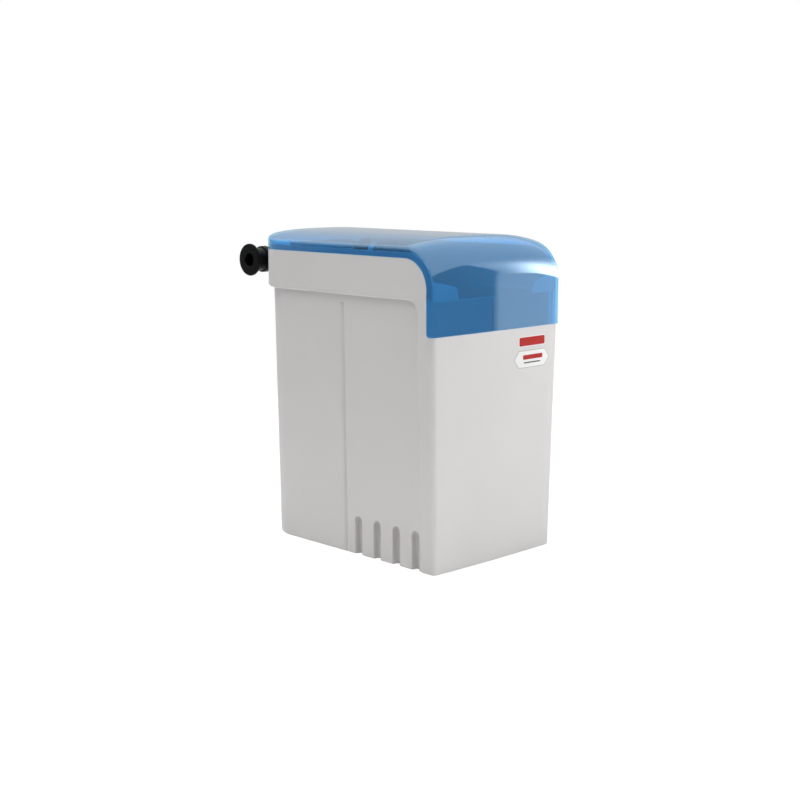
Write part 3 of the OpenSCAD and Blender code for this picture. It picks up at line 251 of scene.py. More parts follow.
def box(name, low, high):
    outline = [(low[0], low[1]), (high[0], low[1]), (high[0], high[1]), (low[0], high[1])]
    return extruded(name, outline, "z", low[2], high[2])


def rod_y(name, x, z, r, low, high):
    return extruded(name, circle(x, z, r, ROD_STEPS), "y", low, high)


def on_side(obj, side):
    """Object made for the right, mirrored where the side is the left one."""
    if side < 0:
        bm = bmesh.new()
        bm.from_mesh(obj.data)
        for v in bm.verts:
            v.co.x = -v.co.x
        bmesh.ops.reverse_faces(bm, faces=bm.faces)
        bm.to_mesh(obj.data)
        bm.free()
    return obj


def combined(target, tools, operation):
    """Target after an exact union, difference or intersection with each tool; the tools are removed."""
    for tool in tools:
        modifier = target.modifiers.new("combine", "BOOLEAN")
        modifier.operation = operation
        modifier.object = tool
        modifier.solver = "EXACT"
    graph = bpy.context.evaluated_depsgraph_get()
    mesh = bpy.data.meshes.new_from_object(target.evaluated_get(graph))
    target.modifiers.clear()
    target.data = mesh
    for tool in tools:
        bpy.data.objects.remove(tool)
    return target


def soften(obj, width, segments=2, angle=32):
    """Rounds the sharp edges by a small bevel and keeps the large faces flat in the shading."""
    bevel = obj.modifiers.new("edges", "BEVEL")
    bevel.width = width * MM
    bevel.segments = segments
    bevel.limit_method = "ANGLE"
    bevel.angle_limit = math.radians(angle)
    bevel.use_clamp_overlap = True
    bevel.miter_outer = "MITER_ARC"
    normals = obj.modifiers.new("normals", "WEIGHTED_NORMAL")
    normals.weight = 50
    normals.keep_sharp = False
    for polygon in obj.data.polygons:
        polygon.use_smooth = True
    return obj


def shoulder_outline(grow):
    """Outline in Y and Z of all that lies below the shoulder, grown by a distance."""
    edge = OPENING_Y - grow
    top = SHOULDER_Z + grow
    foot_z = LID_FRONT_Z + grow
    r = SHOULDER_R + grow
    foot_r = max(OPENING_FOOT_R - grow, LEAST_FOOT_R)
    far = 2 * HALF_D
    outline = [(far, -EPS), (far, top)]
    outline += arc(edge + r, top - r, r, 90, 180, SHOULDER_STEPS)
    outline += arc(edge - foot_r, foot_z + foot_r, foot_r, 0, -90, EDGE_STEPS)
    outline += [(-far, foot_z), (-far, -EPS)]
    return outline


def below_shoulder(name, grow):
    return extruded(name, shoulder_outline(grow), "x", -2 * HALF_W, 2 * HALF_W)


# Cabinet shell: panels, front block with its pillars, collar, recess corners, grooves and flutes
def base_rings():
    """Heights and insets along the rounded edge of the base."""
    return [(BASE_R * (1 - math.cos(a)), BASE_R * (1 - math.sin(a))) for a in quarter_turn(SMALL_TURN)]


def front_corner(inset):
    return max(FRONT_R - inset, LEAST_FRONT_R)


def panel_outline(z, inset):
    front = front_y(z) + inset + WALL
    rear = rear_y(z) - inset
    return plan_outline(panel_half(z) - inset, front, rear, front_corner(inset), PANEL_R - inset)


def panel_body():
    rings = [at_height(panel_outline(z, inset), z) for z, inset in base_rings()]
    rings.append(at_height(panel_outline(COLLAR_Z, 0.0), COLLAR_Z + EPS))
    return loft("panel_body", rings)


def edge_turn():
    """Sine and cosine along the rounded edge that steps out from the side panel."""
    return [(math.sin(a), math.cos(a)) for a in quarter_turn(SMALL_TURN)]


def pillar_outline(z, inset):
    w = pillar_half(z) - inset
    step = w - (panel_half(z) - inset - EPS)
    reach = COLLAR_SLOPE * step / PANEL_INSET
    back = -HALF_D + PILLAR_W
    edge = [(w - step * (1 - s), back + reach * c) for s, c in edge_turn()]
    rear = edge[::-1] + [(-x, y) for x, y in edge]
    return rear + front_run(w, front_y(z) + inset, front_corner(inset))


def pillar_body():
    rings = [at_height(pillar_outline(z, inset), z) for z, inset in base_rings()]
    rings.append(at_height(pillar_outline(COLLAR_Z, 0.0), COLLAR_Z + EPS))
    return loft("pillar_body", rings)


def collar_body(inset):
    """Collar band with a rounded lower edge, up past the lid's height."""
    rings = []
    for s, c in edge_turn():
        back = PANEL_INSET * (1 - s)
        corner = REAR_R + (PANEL_R - REAR_R) * (1 - s) - inset
        outline = plan_outline(HALF_W - inset - back, -HALF_D + inset, HALF_D - inset - back,
                               front_corner(inset), corner)
        rings.append(at_height(outline, COLLAR_Z - COLLAR_SLOPE * c))
    rings.append([(x, y, CLEAR_Z) for x, y, z in rings[-1]])
    return loft("collar_body", rings)


def recess_corner(side):
    """Rounded corner between the pillar and the collar, with the collar's rounded edge."""
    back = -HALF_D + PILLAR_W
    low_z = COLLAR_Z - RECESS_R
    inner = panel_half(0)
    rings = []
    for z in (low_z, COLLAR_Z + EPS):
        outer = pillar_half(z)
        rings.append([(inner, back - EPS, z), (outer, back - EPS, z),
                      (outer, back + RECESS_R, z), (inner, back + RECESS_R, z)])
    block = loft("recess_corner", rings)
    profile = [(inner - EPS, RECESS_R - COLLAR_SLOPE)]
    profile += [(HALF_W - PANEL_INSET * (1 - s), RECESS_R - COLLAR_SLOPE * c) for s, c in edge_turn()]
    profile.append((HALF_W + PANEL_INSET, RECESS_R))
    rings = []
    for x, r in profile:
        rings.append([(x, y, z) for y, z in circle(back + RECESS_R, low_z, r, RECESS_STEPS)])
    combined(block, [loft("recess_round", rings)], "DIFFERENCE")
    return on_side(block, side)


def side_groove(side):
    """Upright groove in a side panel: a sloping rear wall, a steep front wall and a rounded top."""
    slope = GROOVE_RAMP / GROOVE_DEPTH
    profile = [(GROOVE_RAMP + GROOVE_OUT * slope, -GROOVE_OUT), (0.0, GROOVE_DEPTH),
               (-GROOVE_FLOOR, GROOVE_DEPTH), (-GROOVE_FLOOR - GROOVE_OUT / 2, -GROOVE_OUT)]
    top_r = (GROOVE_RAMP + GROOVE_FLOOR) / 2
    straight = COLLAR_Z - GROOVE_GAP - top_r
    middle = (GROOVE_RAMP - GROOVE_FLOOR) / 2
    turns = [math.radians(a) for a in range(0, GROOVE_END + 1, GROOVE_TURN)]
    levels = [(-EPS, 1.0)]
    levels += [(straight + top_r * math.sin(a), math.cos(a)) for a in turns]
    rings = []
    for z, share in levels:
        rings.append([(panel_half(z) - depth, -GROOVE_OFFSET + middle + (y - middle) * share, z)
                      for y, depth in profile])
    return on_side(loft("side_groove", rings), side)


def flute(side, index, levels):
    """Upright form with a round top and an open base, through levels of X and half width."""
    middle = -HALF_D + FLUTE_START + index * FLUTE_PITCH
    centre_z = FLUTE_TOP - FLUTE_W / 2
    rings = []
    for x, half in levels:
        outline = [(middle - half, -EPS), (middle + half, -EPS)]
        outline += arc(middle, centre_z, half, 0, 180, FLUTE_STEPS)
        rings.append([(x, y, z) for y, z in outline])
    return on_side(loft("flute", rings), side)


def flute_cut_levels():
    half = FLUTE_W / 2
    floor_x = panel_half(0) - FLUTE_DEPTH
    face_x = panel_half(FLUTE_TOP)
    floor_arc = arc(half - FLUTE_FLOOR_R, floor_x + FLUTE_FLOOR_R, FLUTE_FLOOR_R, -90, 0, EDGE_STEPS)
    lip_arc = arc(half + FLUTE_LIP_R, face_x - FLUTE_LIP_R, FLUTE_LIP_R, 180, 90, EDGE_STEPS)
    levels = [(x, offset) for offset, x in floor_arc + lip_arc]
    return levels + [(HALF_W + EPS, half + FLUTE_LIP_R)]


def flute_bump_levels():
    half = FLUTE_W / 2 + FLUTE_WALL
    return [(panel_half(0) - FLUTE_BUMP, half), (2 * HALF_W, half)]


def all_flutes(levels):
    return [flute(side, i, levels) for side in (-1, 1) for i in range(FLUTE_COUNT)]


def inner_ring(z, inset):
    outline = plan_outline(panel_half(z) - WALL - inset, front_y(z) + RIM + inset, rear_y(z) - WALL - inset,
                           FRONT_R / 2, PANEL_R - WALL - inset)
    return at_height(outline, z)


def cavity():
    """Space inside the cabinet, less the backs of the flutes and the partition's guides."""
    rim = plan_outline(HALF_W - RIM, -HALF_D + RIM, HALF_D - RIM, FRONT_R / 2, REAR_R - RIM)
    rings = [inner_ring(WALL, INNER_CHAMFER), inner_ring(WALL + INNER_CHAMFER, 0.0)]
    rings.append(inner_ring(COLLAR_Z - COLLAR_SLOPE, 0.0))
    rings.append(at_height(rim, COLLAR_Z + COLLAR_SLOPE))
    rings.append(at_height(rim, CLEAR_Z))
    space = loft("cavity", rings)
    kept = all_flutes(flute_bump_levels())
    gap = PARTITION_T / 2 + SEAT_FIT
    rib_x = panel_half(0) - WALL - GUIDE_REACH
    for side in (-1, 1):
        for way in (-1, 1):
            y = PARTITION_Y + way * (gap + GUIDE_T / 2) - GUIDE_T / 2
            rib = box("guide_rib", (rib_x, y, 0.0), (rib_x + HALF_W, y + GUIDE_T, PARTITION_TOP))
            kept.append(on_side(rib, side))
    return combined(space, kept, "DIFFERENCE")


def rear_openings():
    notch_r = PORT_R + PORT_HOLE_GAP
    tools = []
    for side in (-1, 1):
        outline = arc(side * PORT_X, PORT_Z, notch_r, 180, 360, NOTCH_STEPS)
        outline += [(side * PORT_X + notch_r, CLEAR_Z), (side * PORT_X - notch_r, CLEAR_Z)]
        tools.append(extruded("port_notch", outline, "y", HALF_D - REAR_R, HALF_D + REAR_R))
    outside = HALF_D + HOLE_OUT
    tools.append(rod_y("drain_hole", 0.0, DRAIN_Z, DRAIN_HOLE_R, HALF_D - DRAIN_REACH, outside))
    tools.append(rod_y("overflow_hole", 0.0, OVERFLOW_Z, OVERFLOW_HOLE_R, HALF_D - OVERFLOW_REACH, outside))
    return tools


def make_cabinet():
    shell = panel_body()
    combined(shell, [pillar_body(), collar_body(0.0), recess_corner(1), recess_corner(-1)], "UNION")
    combined(shell, [below_shoulder("shoulder", 0.0)], "INTERSECT")
    lip = collar_body(LID_WALL + LIP_GAP)
    combined(lip, [below_shoulder("lip_cut", LIP_H)], "INTERSECT")
    combined(shell, [lip], "UNION")
    cuts = [cavity()] + all_flutes(flute_cut_levels()) + [side_groove(1), side_groove(-1)]
    combined(shell, cuts + rear_openings(), "DIFFERENCE")
    shell.name = "cabinet_shell"
    return soften(shell, CABINET_SOFT, segments=3)


# Lid: one thin crowned shell over the top and the upper front, cut along the shoulder
def lid_ring(x, depth, drop, foot):
    """Section of the lid across X: rear face, rear edge, top, front bend and front face."""
    top = CROWN_Z - LID_CROWN * (abs(x) / HALF_W) ** CROWN_POWER - depth - drop
    front = -HALF_D - FRONT_BOW * (1 - (x / HALF_W) ** 2) + depth + drop
    beyond = abs(x) - (HALF_W - REAR_R)
    corner = REAR_R - depth
    rear = HALF_D - depth
    if beyond > 0:
        rear = HALF_D - REAR_R + math.sqrt(max(corner * corner - beyond * beyond, 0.0))
    r = LID_FRONT_R - depth - drop
    outline = [(rear, foot)]
    outline += arc(rear - LID_EDGE_R, top - LID_EDGE_R, LID_EDGE_R, 0, 90, LID_EDGE_STEPS)
    outline += arc(front + r, top - r, r, 90, 180, LID_BEND_STEPS)
    outline.append((front, foot))
    return [(x, y, z) for y, z in outline]


def lid_form(depth, foot):
    """Solid of the lid at a depth under its outer face, in sections from left to right."""
    straight = HALF_W - REAR_R
    half = [straight * i / LID_FLAT_STEPS for i in range(LID_FLAT_STEPS + 1)]
    turns = range(LID_CORNER_TURN, LID_CORNER_END + 1, LID_CORNER_TURN)
    half += [straight + (REAR_R - depth) * math.sin(math.radians(a)) for a in turns]
    places = [(x, 0.0) for x in half]
    for turn in quarter_turn(SMALL_TURN)[1:]:
        places.append((HALF_W - depth - LID_EDGE_R * (1 - math.sin(turn)), LID_EDGE_R * (1 - math.cos(turn))))
    left = [(-x, drop) for x, drop in places[:0:-1]]
    return loft("lid_form", [lid_ring(x, depth, drop, foot) for x, drop in left + places])


def make_lid():
    shell = lid_form(0.0, LID_FRONT_Z - LID_FOOT_DROP)
    inside = lid_form(LID_WALL, LID_FRONT_Z - LID_INNER_DROP)
    combined(shell, [inside, below_shoulder("lid_cut", LID_GAP)], "DIFFERENCE")
    shell.name = "lid_shell"
    return soften(shell, LID_SOFT, angle=LID_SOFT_ANGLE)


# Plain labels on the upper right of the front
LABEL_T = 0.15
LABEL_SINK = 0.02
LABEL_ROWS = 5
LABEL_STEPS = 12

# Each label: name, limits in X and in Z, layer, corner radius, length of the points
LABELS = (
    ("label_band_edge", 45.6, 109.2, 328.0, 344.0, 0, 2.5, 0.0),
    ("label_band", 46.8, 108.0, 329.2, 342.8, 1, 2.0, 0.0),
    ("label_panel_edge", 35.0, 119.4, 294.9, 322.3, 0, 0.0, 10.5),
    ("label_panel", 36.2, 118.2, 296.0, 321.2, 1, 0.0, 10.2),
    ("label_bar", 56.0, 103.0, 308.0, 315.0, 2, 1.5, 0.0),
    ("label_line", 58.0, 98.0, 302.0, 304.0, 2, 0.6, 0.0),
)


def front_surface(x, z):
    w = pillar_half(z)
    return front_y(z) - FRONT_BOW * (1 - (x / w) ** 2)


def label_columns(x0, x1, r, point):
    """Places along a label, close together where its outline turns."""
    steps = [r * (1 - math.cos(a)) for a in quarter_turn(SMALL_TURN)]
    if point > 0:
        steps = [0.0, point]
    middle = [x0 + (x1 - x0) * i / LABEL_STEPS for i in range(LABEL_STEPS + 1)]
    middle = [x for x in middle if min(x - x0, x1 - x) > steps[-1] + EPS]
    return [x0 + s for s in steps] + middle + [x1 - s for s in steps[::-1]]


def make_label(name, x0, x1, z0, z1, layer, r, point):
    """Thin sticker with rounded corners or pointed ends, laid on the curve of the front."""
    columns = label_columns(x0, x1, r, point)
    low, high = [], []
    for x in columns:
        inside = min(x - x0, x1 - x)
        edge = max(0.0, r - inside)
        cut = r - math.sqrt(max(r * r - edge * edge, 0.0))
        if point > 0:
            cut = max(0.0, 1 - inside / point) * ((z1 - z0) / 2 - LABEL_T)
        low.append(z0 + cut)
        high.append(z1 - cut)
    rows = LABEL_ROWS
    verts = []
    for lift in (layer * LABEL_T - LABEL_SINK, (layer + 1) * LABEL_T):
        for x, lo, hi in zip(columns, low, high):
            for k in range(rows):
                z = lo + (hi - lo) * k / (rows - 1)
                verts.append((x, front_surface(x, z) - lift, z))
    top = len(columns) * rows
    faces = []
    for i in range(len(columns) - 1):
        for k in range(rows - 1):
            a = i * rows + k
            b = a + rows
            faces.append((a, a + 1, b + 1, b))
            faces.append((top + a, top + b, top + b + 1, top + a + 1))
        for k in (0, rows - 1):
            a = i * rows + k
            b = a + rows
            faces.append((a, b, top + b, top + a))
    for i in (0, len(columns) - 1):
        for k in range(rows - 1):
            a = i * rows + k
            faces.append((a, a + 1, top + a + 1, top + a))
    return new_object(name, verts, faces)


# Materials
WHITE = (1.0, 1.0, 1.0, 1.0)
GRAIN_DETAIL = 3.0
GRAIN_GAIN = 10.0
GRAIN_HEIGHT = 0.0001
PATCH_SCALE = 9.0
PATCH_DETAIL = 4.0
PATCH_START = 0.3
PATCH_END = 0.7
GLOSS_SPREAD = 0.06
LEAST_ROUGHNESS = 0.02
STREAK_STRETCH = (60.0, 1500.0, 1500.0)
STREAK_SCALE = 1.0
STREAK_DETAIL = 4.0
STREAK_SHADE = 0.85
STREAK_GLOSS_LOW = 0.22
STREAK_GLOSS_HIGH = 0.42
HAZE_SCALE = 14.0
HAZE_DETAIL = 3.0
HAZE_GLOSS_LOW = 0.6
HAZE_GLOSS_HIGH = 1.4
MILKY_ROUGHNESS = 0.4
FACING_BLEND = 0.5
FACING_MIRROR = 0.07
GRAZING_MIRROR = 1.0
GRAZING_POWER = 5.0
BEAD_SCALE = 900.0
BEAD_ROUGHNESS = 0.35
# Share of the bead colour left by the painted shade in the gaps between beads
BEAD_GAP_PAINTED_SHADE = 0.35
BEAD_BUMP = 0.8
BEAD_HEIGHT = 0.0006


def opaque(color, shade=1.0):
    """Colour times a shade, with its fourth channel."""
    return (*[min(1.0, c * shade) for c in color], 1.0)


def put(tree, value, socket):
    """Sets an input to a number, or links it to the output of another node."""
    if isinstance(value, float):
        socket.default_value = value
    else:
        tree.links.new(value, socket)


def math_node(tree, operation, first, second):
    made = tree.nodes.new("ShaderNodeMath")
    made.operation = operation
    put(tree, first, made.inputs[0])
    put(tree, second, made.inputs[1])
    return made.outputs["Value"]


def blend(tree, factor, first, second):
    """Mix of two shaders."""
    made = tree.nodes.new("ShaderNodeMixShader")
    put(tree, factor, made.inputs["Fac"])
    put(tree, first, made.inputs[1])
    put(tree, second, made.inputs[2])
    return made.outputs["Shader"]


def object_place(tree):
    return tree.nodes.new("ShaderNodeTexCoord").outputs["Object"]


def noise(tree, vector, scale, detail):
    made = tree.nodes.new("ShaderNodeTexNoise")
    made.inputs["Scale"].default_value = scale
    made.inputs["Detail"].default_value = detail
    put(tree, vector, made.inputs["Vector"])
    return made.outputs["Fac"]


def spread(tree, value, low, high):
    """Value from 0 to 1, spread between two limits."""
    made = tree.nodes.new("ShaderNodeMapRange")
    made.inputs["To Min"].default_value = low
    made.inputs["To Max"].default_value = high
    put(tree, value, made.inputs["Value"])
    return made.outputs["Result"]


def colours(tree, value, first, second, start=0.0, end=1.0):
    """Colour that goes from one to another while a value rises."""
    made = tree.nodes.new("ShaderNodeValToRGB")
    elements = made.color_ramp.elements
    elements[0].position = start
    elements[1].position = end
    elements[0].color = first
    elements[1].color = second
    put(tree, value, made.inputs["Fac"])
    return made.outputs["Color"]


def relief(tree, height, strength, distance, invert=False):
    """Normals of a fine relief."""
    made = tree.nodes.new("ShaderNodeBump")
    made.inputs["Strength"].default_value = strength
    made.inputs["Distance"].default_value = distance
    made.invert = invert
    put(tree, height, made.inputs["Height"])
    return made.outputs["Normal"]


def surface(tree, shading):
    """Makes a shader the surface of its material."""
    output = next(n for n in tree.nodes if n.type == "OUTPUT_MATERIAL")
    put(tree, shading, output.inputs["Surface"])


def material(name):
    """New material with its node tree and its main shader."""
    made = bpy.data.materials.new(name)
    made.use_nodes = True
    tree = made.node_tree
    tree.nodes.clear()
    tree.nodes.new("ShaderNodeOutputMaterial")
    shader = tree.nodes.new("ShaderNodeBsdfPrincipled")
    surface(tree, shader.outputs["BSDF"])
    return made, tree, shader


def moulded(name, color, roughness=0.45, grain=900.0, depth=0.02, variation=0.03, shine=0.5):
    """Moulded plastic: fine grain in the surface, faint unevenness in colour and gloss."""
    made, tree, shader = material(name)
    shader.inputs["Specular IOR Level"].default_value = shine
    place = object_place(tree)
    fine = noise(tree, place, grain, GRAIN_DETAIL)
    put(tree, relief(tree, fine, depth * GRAIN_GAIN, GRAIN_HEIGHT), shader.inputs["Normal"])
    broad = noise(tree, place, PATCH_SCALE, PATCH_DETAIL)
    darker = opaque(color, 1 - variation)
    lighter = opaque(color, 1 + variation)
    put(tree, colours(tree, broad, darker, lighter, PATCH_START, PATCH_END), shader.inputs["Base Color"])
    gloss = spread(tree, broad, max(LEAST_ROUGHNESS, roughness - GLOSS_SPREAD), roughness + GLOSS_SPREAD)
    put(tree, gloss, shader.inputs["Roughness"])
    return made


def brushed(name, color):
    """Drawn steel: fine streaks in colour and gloss."""
    made, tree, shader = material(name)
    shader.inputs["Metallic"].default_value = 1.0
    stretch = tree.nodes.new("ShaderNodeMapping")
    stretch.inputs["Scale"].default_value = STREAK_STRETCH
    put(tree, object_place(tree), stretch.inputs["Vector"])
    streaks = noise(tree, stretch.outputs["Vector"], STREAK_SCALE, STREAK_DETAIL)
    put(tree, colours(tree, streaks, opaque(color, STREAK_SHADE), opaque(color)), shader.inputs["Base Color"])
    put(tree, spread(tree, streaks, STREAK_GLOSS_LOW, STREAK_GLOSS_HIGH), shader.inputs["Roughness"])
    return made


def clear_plastic(name, tint, body, share, roughness):
    """Clear tinted plastic: a see-through body with a little milkiness under a glossy skin."""
    made, tree, shader = material(name)
    shader.inputs["Base Color"].default_value = opaque(body)
    shader.inputs["Roughness"].default_value = MILKY_ROUGHNESS
    clear = tree.nodes.new("ShaderNodeBsdfTransparent")
    clear.inputs["Color"].default_value = opaque(tint)
    milky = blend(tree, share, clear.outputs["BSDF"], shader.outputs["BSDF"])
    haze = noise(tree, object_place(tree), HAZE_SCALE, HAZE_DETAIL)
    skin = tree.nodes.new("ShaderNodeBsdfGlossy")
    skin.inputs["Color"].default_value = WHITE
    gloss = spread(tree, haze, roughness * HAZE_GLOSS_LOW, roughness * HAZE_GLOSS_HIGH)
    put(tree, gloss, skin.inputs["Roughness"])
    slant = tree.nodes.new("ShaderNodeLayerWeight")
    slant.inputs["Blend"].default_value = FACING_BLEND
    grazing = math_node(tree, "POWER", slant.outputs["Facing"], GRAZING_POWER)
    mirror = spread(tree, grazing, FACING_MIRROR, GRAZING_MIRROR)
    surface(tree, blend(tree, mirror, milky, skin.outputs["BSDF"]))
    return made


def beads(name, color):
    """Bed of small resin beads, with painted shade that darkens each bead towards its edge and into the gaps
    between beads.
    """
    made, tree, shader = material(name)
    shader.inputs["Roughness"].default_value = BEAD_ROUGHNESS
    cells = tree.nodes.new("ShaderNodeTexVoronoi")
    cells.inputs["Scale"].default_value = BEAD_SCALE
    put(tree, object_place(tree), cells.inputs["Vector"])
    reach = cells.outputs["Distance"]
    # Painted shade: the colour darkens from each bead's middle towards its edge and the gaps between beads
    put(tree, colours(tree, reach, opaque(color), opaque(color, BEAD_GAP_PAINTED_SHADE)), shader.inputs["Base Color"])
    put(tree, relief(tree, reach, BEAD_BUMP, BEAD_HEIGHT, invert=True), shader.inputs["Normal"])
    return made


def dress(obj, look):
    obj.data.materials.clear()
    obj.data.materials.append(look)


CASING = (0.71, 0.695, 0.69)
looks = {
    "casing_grey": moulded("casing_plastic", CASING, roughness=0.42,
                           grain=1400.0, depth=0.015, variation=0.012),
    "lid_blue": clear_plastic("lid_plastic", tint=(0.38, 0.775, 0.975), body=(0.25, 0.41, 0.62),
                              share=0.125, roughness=0.03),
    "hinge_white": moulded("hinge_plastic", CASING, roughness=0.4),
    "arm_blue": moulded("arm_plastic", (0.03, 0.17, 0.42), roughness=0.2, grain=900.0, depth=0.01),
    "steel": brushed("drawn_steel", (0.62, 0.63, 0.65)),
    "inner_white": moulded("inner_plastic", (0.80, 0.81, 0.82), roughness=0.4),
    "fitting_grey": moulded("fitting_plastic", (0.055, 0.058, 0.062), roughness=0.38,
                            grain=700.0, depth=0.03, variation=0.08),
    "float_orange": moulded("float_plastic", (0.72, 0.22, 0.03), roughness=0.3),
    "seal_black": moulded("seal_rubber", (0.018, 0.018, 0.019), roughness=0.6,
                          grain=1800.0, depth=0.05, variation=0.15),
    "vessel_blue": moulded("vessel_plastic", (0.36, 0.45, 0.56), roughness=0.32,
                           grain=500.0, depth=0.03, variation=0.05),
    "resin_amber": beads("resin_beads", (0.52, 0.27, 0.07)),
    "gear_ivory": moulded("gear_plastic", (0.78, 0.74, 0.60), roughness=0.35),
    "disc_blue": moulded("disc_plastic", (0.04, 0.14, 0.46), roughness=0.35),
    "cover_clear": clear_plastic("cover_plastic", tint=(0.93, 0.96, 0.97), body=(0.8, 0.85, 0.88),
                                 share=0.03, roughness=0.02),
    "port_black": moulded("port_plastic", (0.002, 0.0024, 0.0026), roughness=0.35,
                          grain=600.0, depth=0.02, variation=0.2, shine=0.15),
}

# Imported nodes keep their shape, and get soft edges and their materials
slot_of = {entry["node"]: entry["material_slot"] for entry in frame["record"]["subparts"]}
for node, obj in frame["nodes"].items():
    dress(obj, looks[slot_of[node]])
    weld = obj.modifiers.new("weld", "WELD")
    weld.merge_threshold = WELD_GAP * MM
    soften(obj, NODE_SOFT)

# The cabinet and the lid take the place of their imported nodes
cabinet = make_cabinet()
dress(cabinet, looks["casing_grey"])
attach(cabinet, "cabinet")
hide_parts("cabinet")

lid = make_lid()
dress(lid, looks["lid_blue"])
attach(lid, "lid")
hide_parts("lid")

# Labels of printed film, on the cabinet
LABEL_GRAIN = 500.0
LABEL_GRAIN_DEPTH = 0.01


def printed(name, color, roughness, variation, shine=0.5):
    """Smooth printed film of a label."""
    return moulded(name, color, roughness, LABEL_GRAIN, LABEL_GRAIN_DEPTH, variation, shine)


label_red = printed("label_red", (0.45, 0.012, 0.01), roughness=0.5, variation=0.05, shine=0.2)
label_white = printed("label_white", (0.90, 0.90, 0.89), roughness=0.35, variation=0.02)
label_grey = printed("label_grey", (0.48, 0.48, 0.47), roughness=0.4, variation=0.04)
label_dark = printed("label_dark", (0.05, 0.055, 0.05), roughness=0.4, variation=0.06)
label_looks = {
    "label_band_edge": label_white,
    "label_band": label_red,
    "label_panel_edge": label_grey,
    "label_panel": label_white,
    "label_bar": label_red,
    "label_line": label_dark,
}
for name, *sizes in LABELS:
    label = make_label(name, *sizes)
    dress(label, label_looks[name])
    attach(label, "cabinet")

# Floor: white for the camera, with the object's soft shadow kept on it
FLOOR_R = 1600.0
FLOOR_Z = -0.4
FLOOR_COLOR = (0.85, 0.85, 0.85)
FLOOR_ROUGHNESS = 0.9
FLOOR_GLOW = 1.3
FLOOR_GLOW_SHARE = 0.7
floor_outline = circle(0, 0, FLOOR_R, FLOOR_STEPS)
floor = new_object("floor", at_height(floor_outline, FLOOR_Z), [tuple(range(FLOOR_STEPS))])
floor_look, floor_tree, shader = material("floor_white")
shader.inputs["Base Color"].default_value = opaque(FLOOR_COLOR)
shader.inputs["Roughness"].default_value = FLOOR_ROUGHNESS
glow = floor_tree.nodes.new("ShaderNodeEmission")
glow.inputs["Strength"].default_value = FLOOR_GLOW
path = floor_tree.nodes.new("ShaderNodeLightPath")
share = math_node(floor_tree, "MULTIPLY", path.outputs["Is Camera Ray"], FLOOR_GLOW_SHARE)
surface(floor_tree, blend(floor_tree, share, shader.outputs["BSDF"], glow.outputs["Emission"]))
dress(floor, floor_look)

# Surroundings: white for the camera; a dark room in front dims the fill and shows in glossy faces
FILL = 0.5
ROOM_SHADE = 0.7
ROOM_LEVEL = 0.05
BACKDROP_LEVEL = 0.57
RIGHT_LEVEL = 1.5
WINDOW_LEVEL = 18.0
CEILING_LEVEL = 1.2
ROOM_LEFT = math.radians(-140.0)
ROOM_RIGHT = math.radians(48.1)
RIGHT_END = math.radians(78.0)
WINDOW_FULL = math.radians(59.0)
ROOM_EDGE = math.radians(2.0)
ROOM_LINE = math.radians(0.4)
ROOM_TOP = math.sin(math.radians(25.0))
WINDOW_LOW = math.sin(math.radians(-2.0))
WINDOW_FADE = math.sin(math.radians(2.0))
WINDOW_HIGH = math.sin(math.radians(24.0))
world = bpy.data.worlds.new("studio")
scene.world = world
world.use_nodes = True
sky = world.node_tree
sky.nodes.clear()


def plus(first, second):
    return math_node(sky, "ADD", first, second)


def minus(first, second):
    return math_node(sky, "SUBTRACT", first, second)


def times(first, second):
    return math_node(sky, "MULTIPLY", first, second)


def rise(value, low, high):
    """Smooth step from 0 to 1 between two limits."""
    made = sky.nodes.new("ShaderNodeMapRange")
    made.interpolation_type = "SMOOTHSTEP"
    made.inputs["From Min"].default_value = low
    made.inputs["From Max"].default_value = high
    put(sky, value, made.inputs["Value"])
    return made.outputs["Result"]


def past(value, limit, soft):
    """1 where a value is past a limit, with a soft edge."""
    return rise(value, limit - soft, limit + soft)


def background(level):
    made = sky.nodes.new("ShaderNodeBackground")
    made.inputs["Color"].default_value = WHITE
    put(sky, level, made.inputs["Strength"])
    return made.outputs["Background"]


# Bearings count from the front towards the right, and elevations are sines
ray = sky.nodes.new("ShaderNodeSeparateXYZ")
put(sky, sky.nodes.new("ShaderNodeTexCoord").outputs["Generated"], ray.inputs["Vector"])
bearing = math_node(sky, "ARCTAN2", ray.outputs["X"], times(ray.outputs["Y"], -1.0))
elevation = ray.outputs["Z"]
past_left = past(bearing, ROOM_LEFT, ROOM_EDGE)
past_right = past(bearing, ROOM_RIGHT, ROOM_LINE)
past_end = past(bearing, RIGHT_END, ROOM_EDGE)
above = past(elevation, ROOM_TOP, ROOM_EDGE)
over_sill = past(elevation, WINDOW_LOW, ROOM_LINE)
over_head = rise(elevation, WINDOW_FADE, WINDOW_HIGH)
room = minus(past_left, past_right)
right = minus(past_right, past_end)
brighter = minus(rise(bearing, ROOM_RIGHT, WINDOW_FULL), past_end)
window = times(brighter, times(over_sill, minus(1.0, over_head)))
fill = times(minus(1.0, times(room, ROOM_SHADE)), FILL)
mirrored = plus(BACKDROP_LEVEL, times(room, ROOM_LEVEL - BACKDROP_LEVEL))
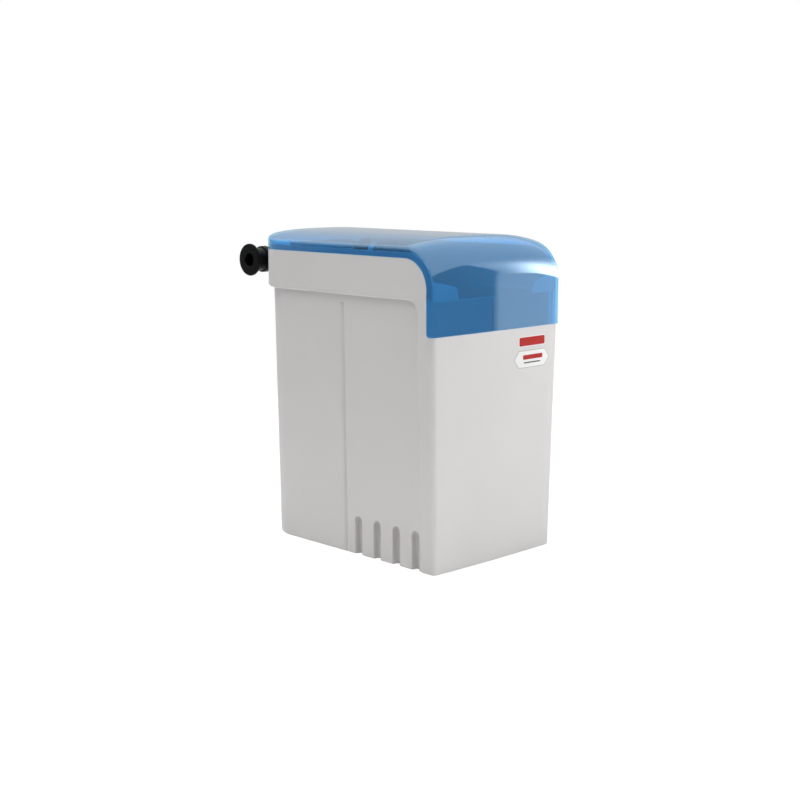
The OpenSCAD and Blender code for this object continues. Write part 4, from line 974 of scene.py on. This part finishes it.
mirrored = plus(mirrored, times(right, RIGHT_LEVEL - BACKDROP_LEVEL))
mirrored = plus(mirrored, times(window, WINDOW_LEVEL - RIGHT_LEVEL))
mirrored = times(mirrored, minus(1.0, above))
mirrored = plus(mirrored, times(above, CEILING_LEVEL))
path = sky.nodes.new("ShaderNodeLightPath")
lit = blend(sky, path.outputs["Is Glossy Ray"], background(fill), background(mirrored))
seen = blend(sky, path.outputs["Is Camera Ray"], lit, background(1.0))
put(sky, seen, sky.nodes.new("ShaderNodeOutputWorld").inputs["Surface"])


def look_along(obj, line):
    """Turns a lamp or a camera to look along a line."""
    obj.rotation_euler = line.to_track_quat("-Z", "Y").to_euler()


# Lamps, in metres and watts
def lamp(name, place, aim, power, width, height):
    data = bpy.data.lights.new(name, "AREA")
    data.shape = "RECTANGLE"
    data.size = width
    data.size_y = height
    data.energy = power
    obj = bpy.data.objects.new(name, data)
    obj.location = place
    look_along(obj, Vector(aim) - Vector(place))
    obj.visible_glossy = False
    scene.collection.objects.link(obj)


lamp("key_softbox", place=(-0.25, -1.9, 0.95), aim=(-0.05, -0.1, 0.3), power=9.5, width=0.9, height=0.9)
lamp("right_softbox", place=(1.72, -1.17, 0.75), aim=(0.0, -0.2, 0.44), power=9.0, width=1.0, height=0.78)
lamp("top_softbox", place=(-0.3, 0.15, 2.0), aim=(-0.15, 0.05, 0.3), power=44.0, width=1.6, height=1.6)

# Camera at the photograph's angle
CAMERA_PLACE = (-1.594, -1.617, 0.606)
CAMERA_LINE = (0.6904, 0.7045, -0.1644)
CAMERA_LENS = 63.7
CAMERA_SENSOR = 36.0
CAMERA_REACH = 100.0
camera_data = bpy.data.cameras.new("camera")
camera_data.lens = CAMERA_LENS
camera_data.sensor_width = CAMERA_SENSOR
camera_data.clip_end = CAMERA_REACH
camera = bpy.data.objects.new("camera", camera_data)
camera.location = CAMERA_PLACE
look_along(camera, Vector(CAMERA_LINE))
scene.collection.objects.link(camera)
scene.camera = camera
scene.view_settings.view_transform = "Standard"
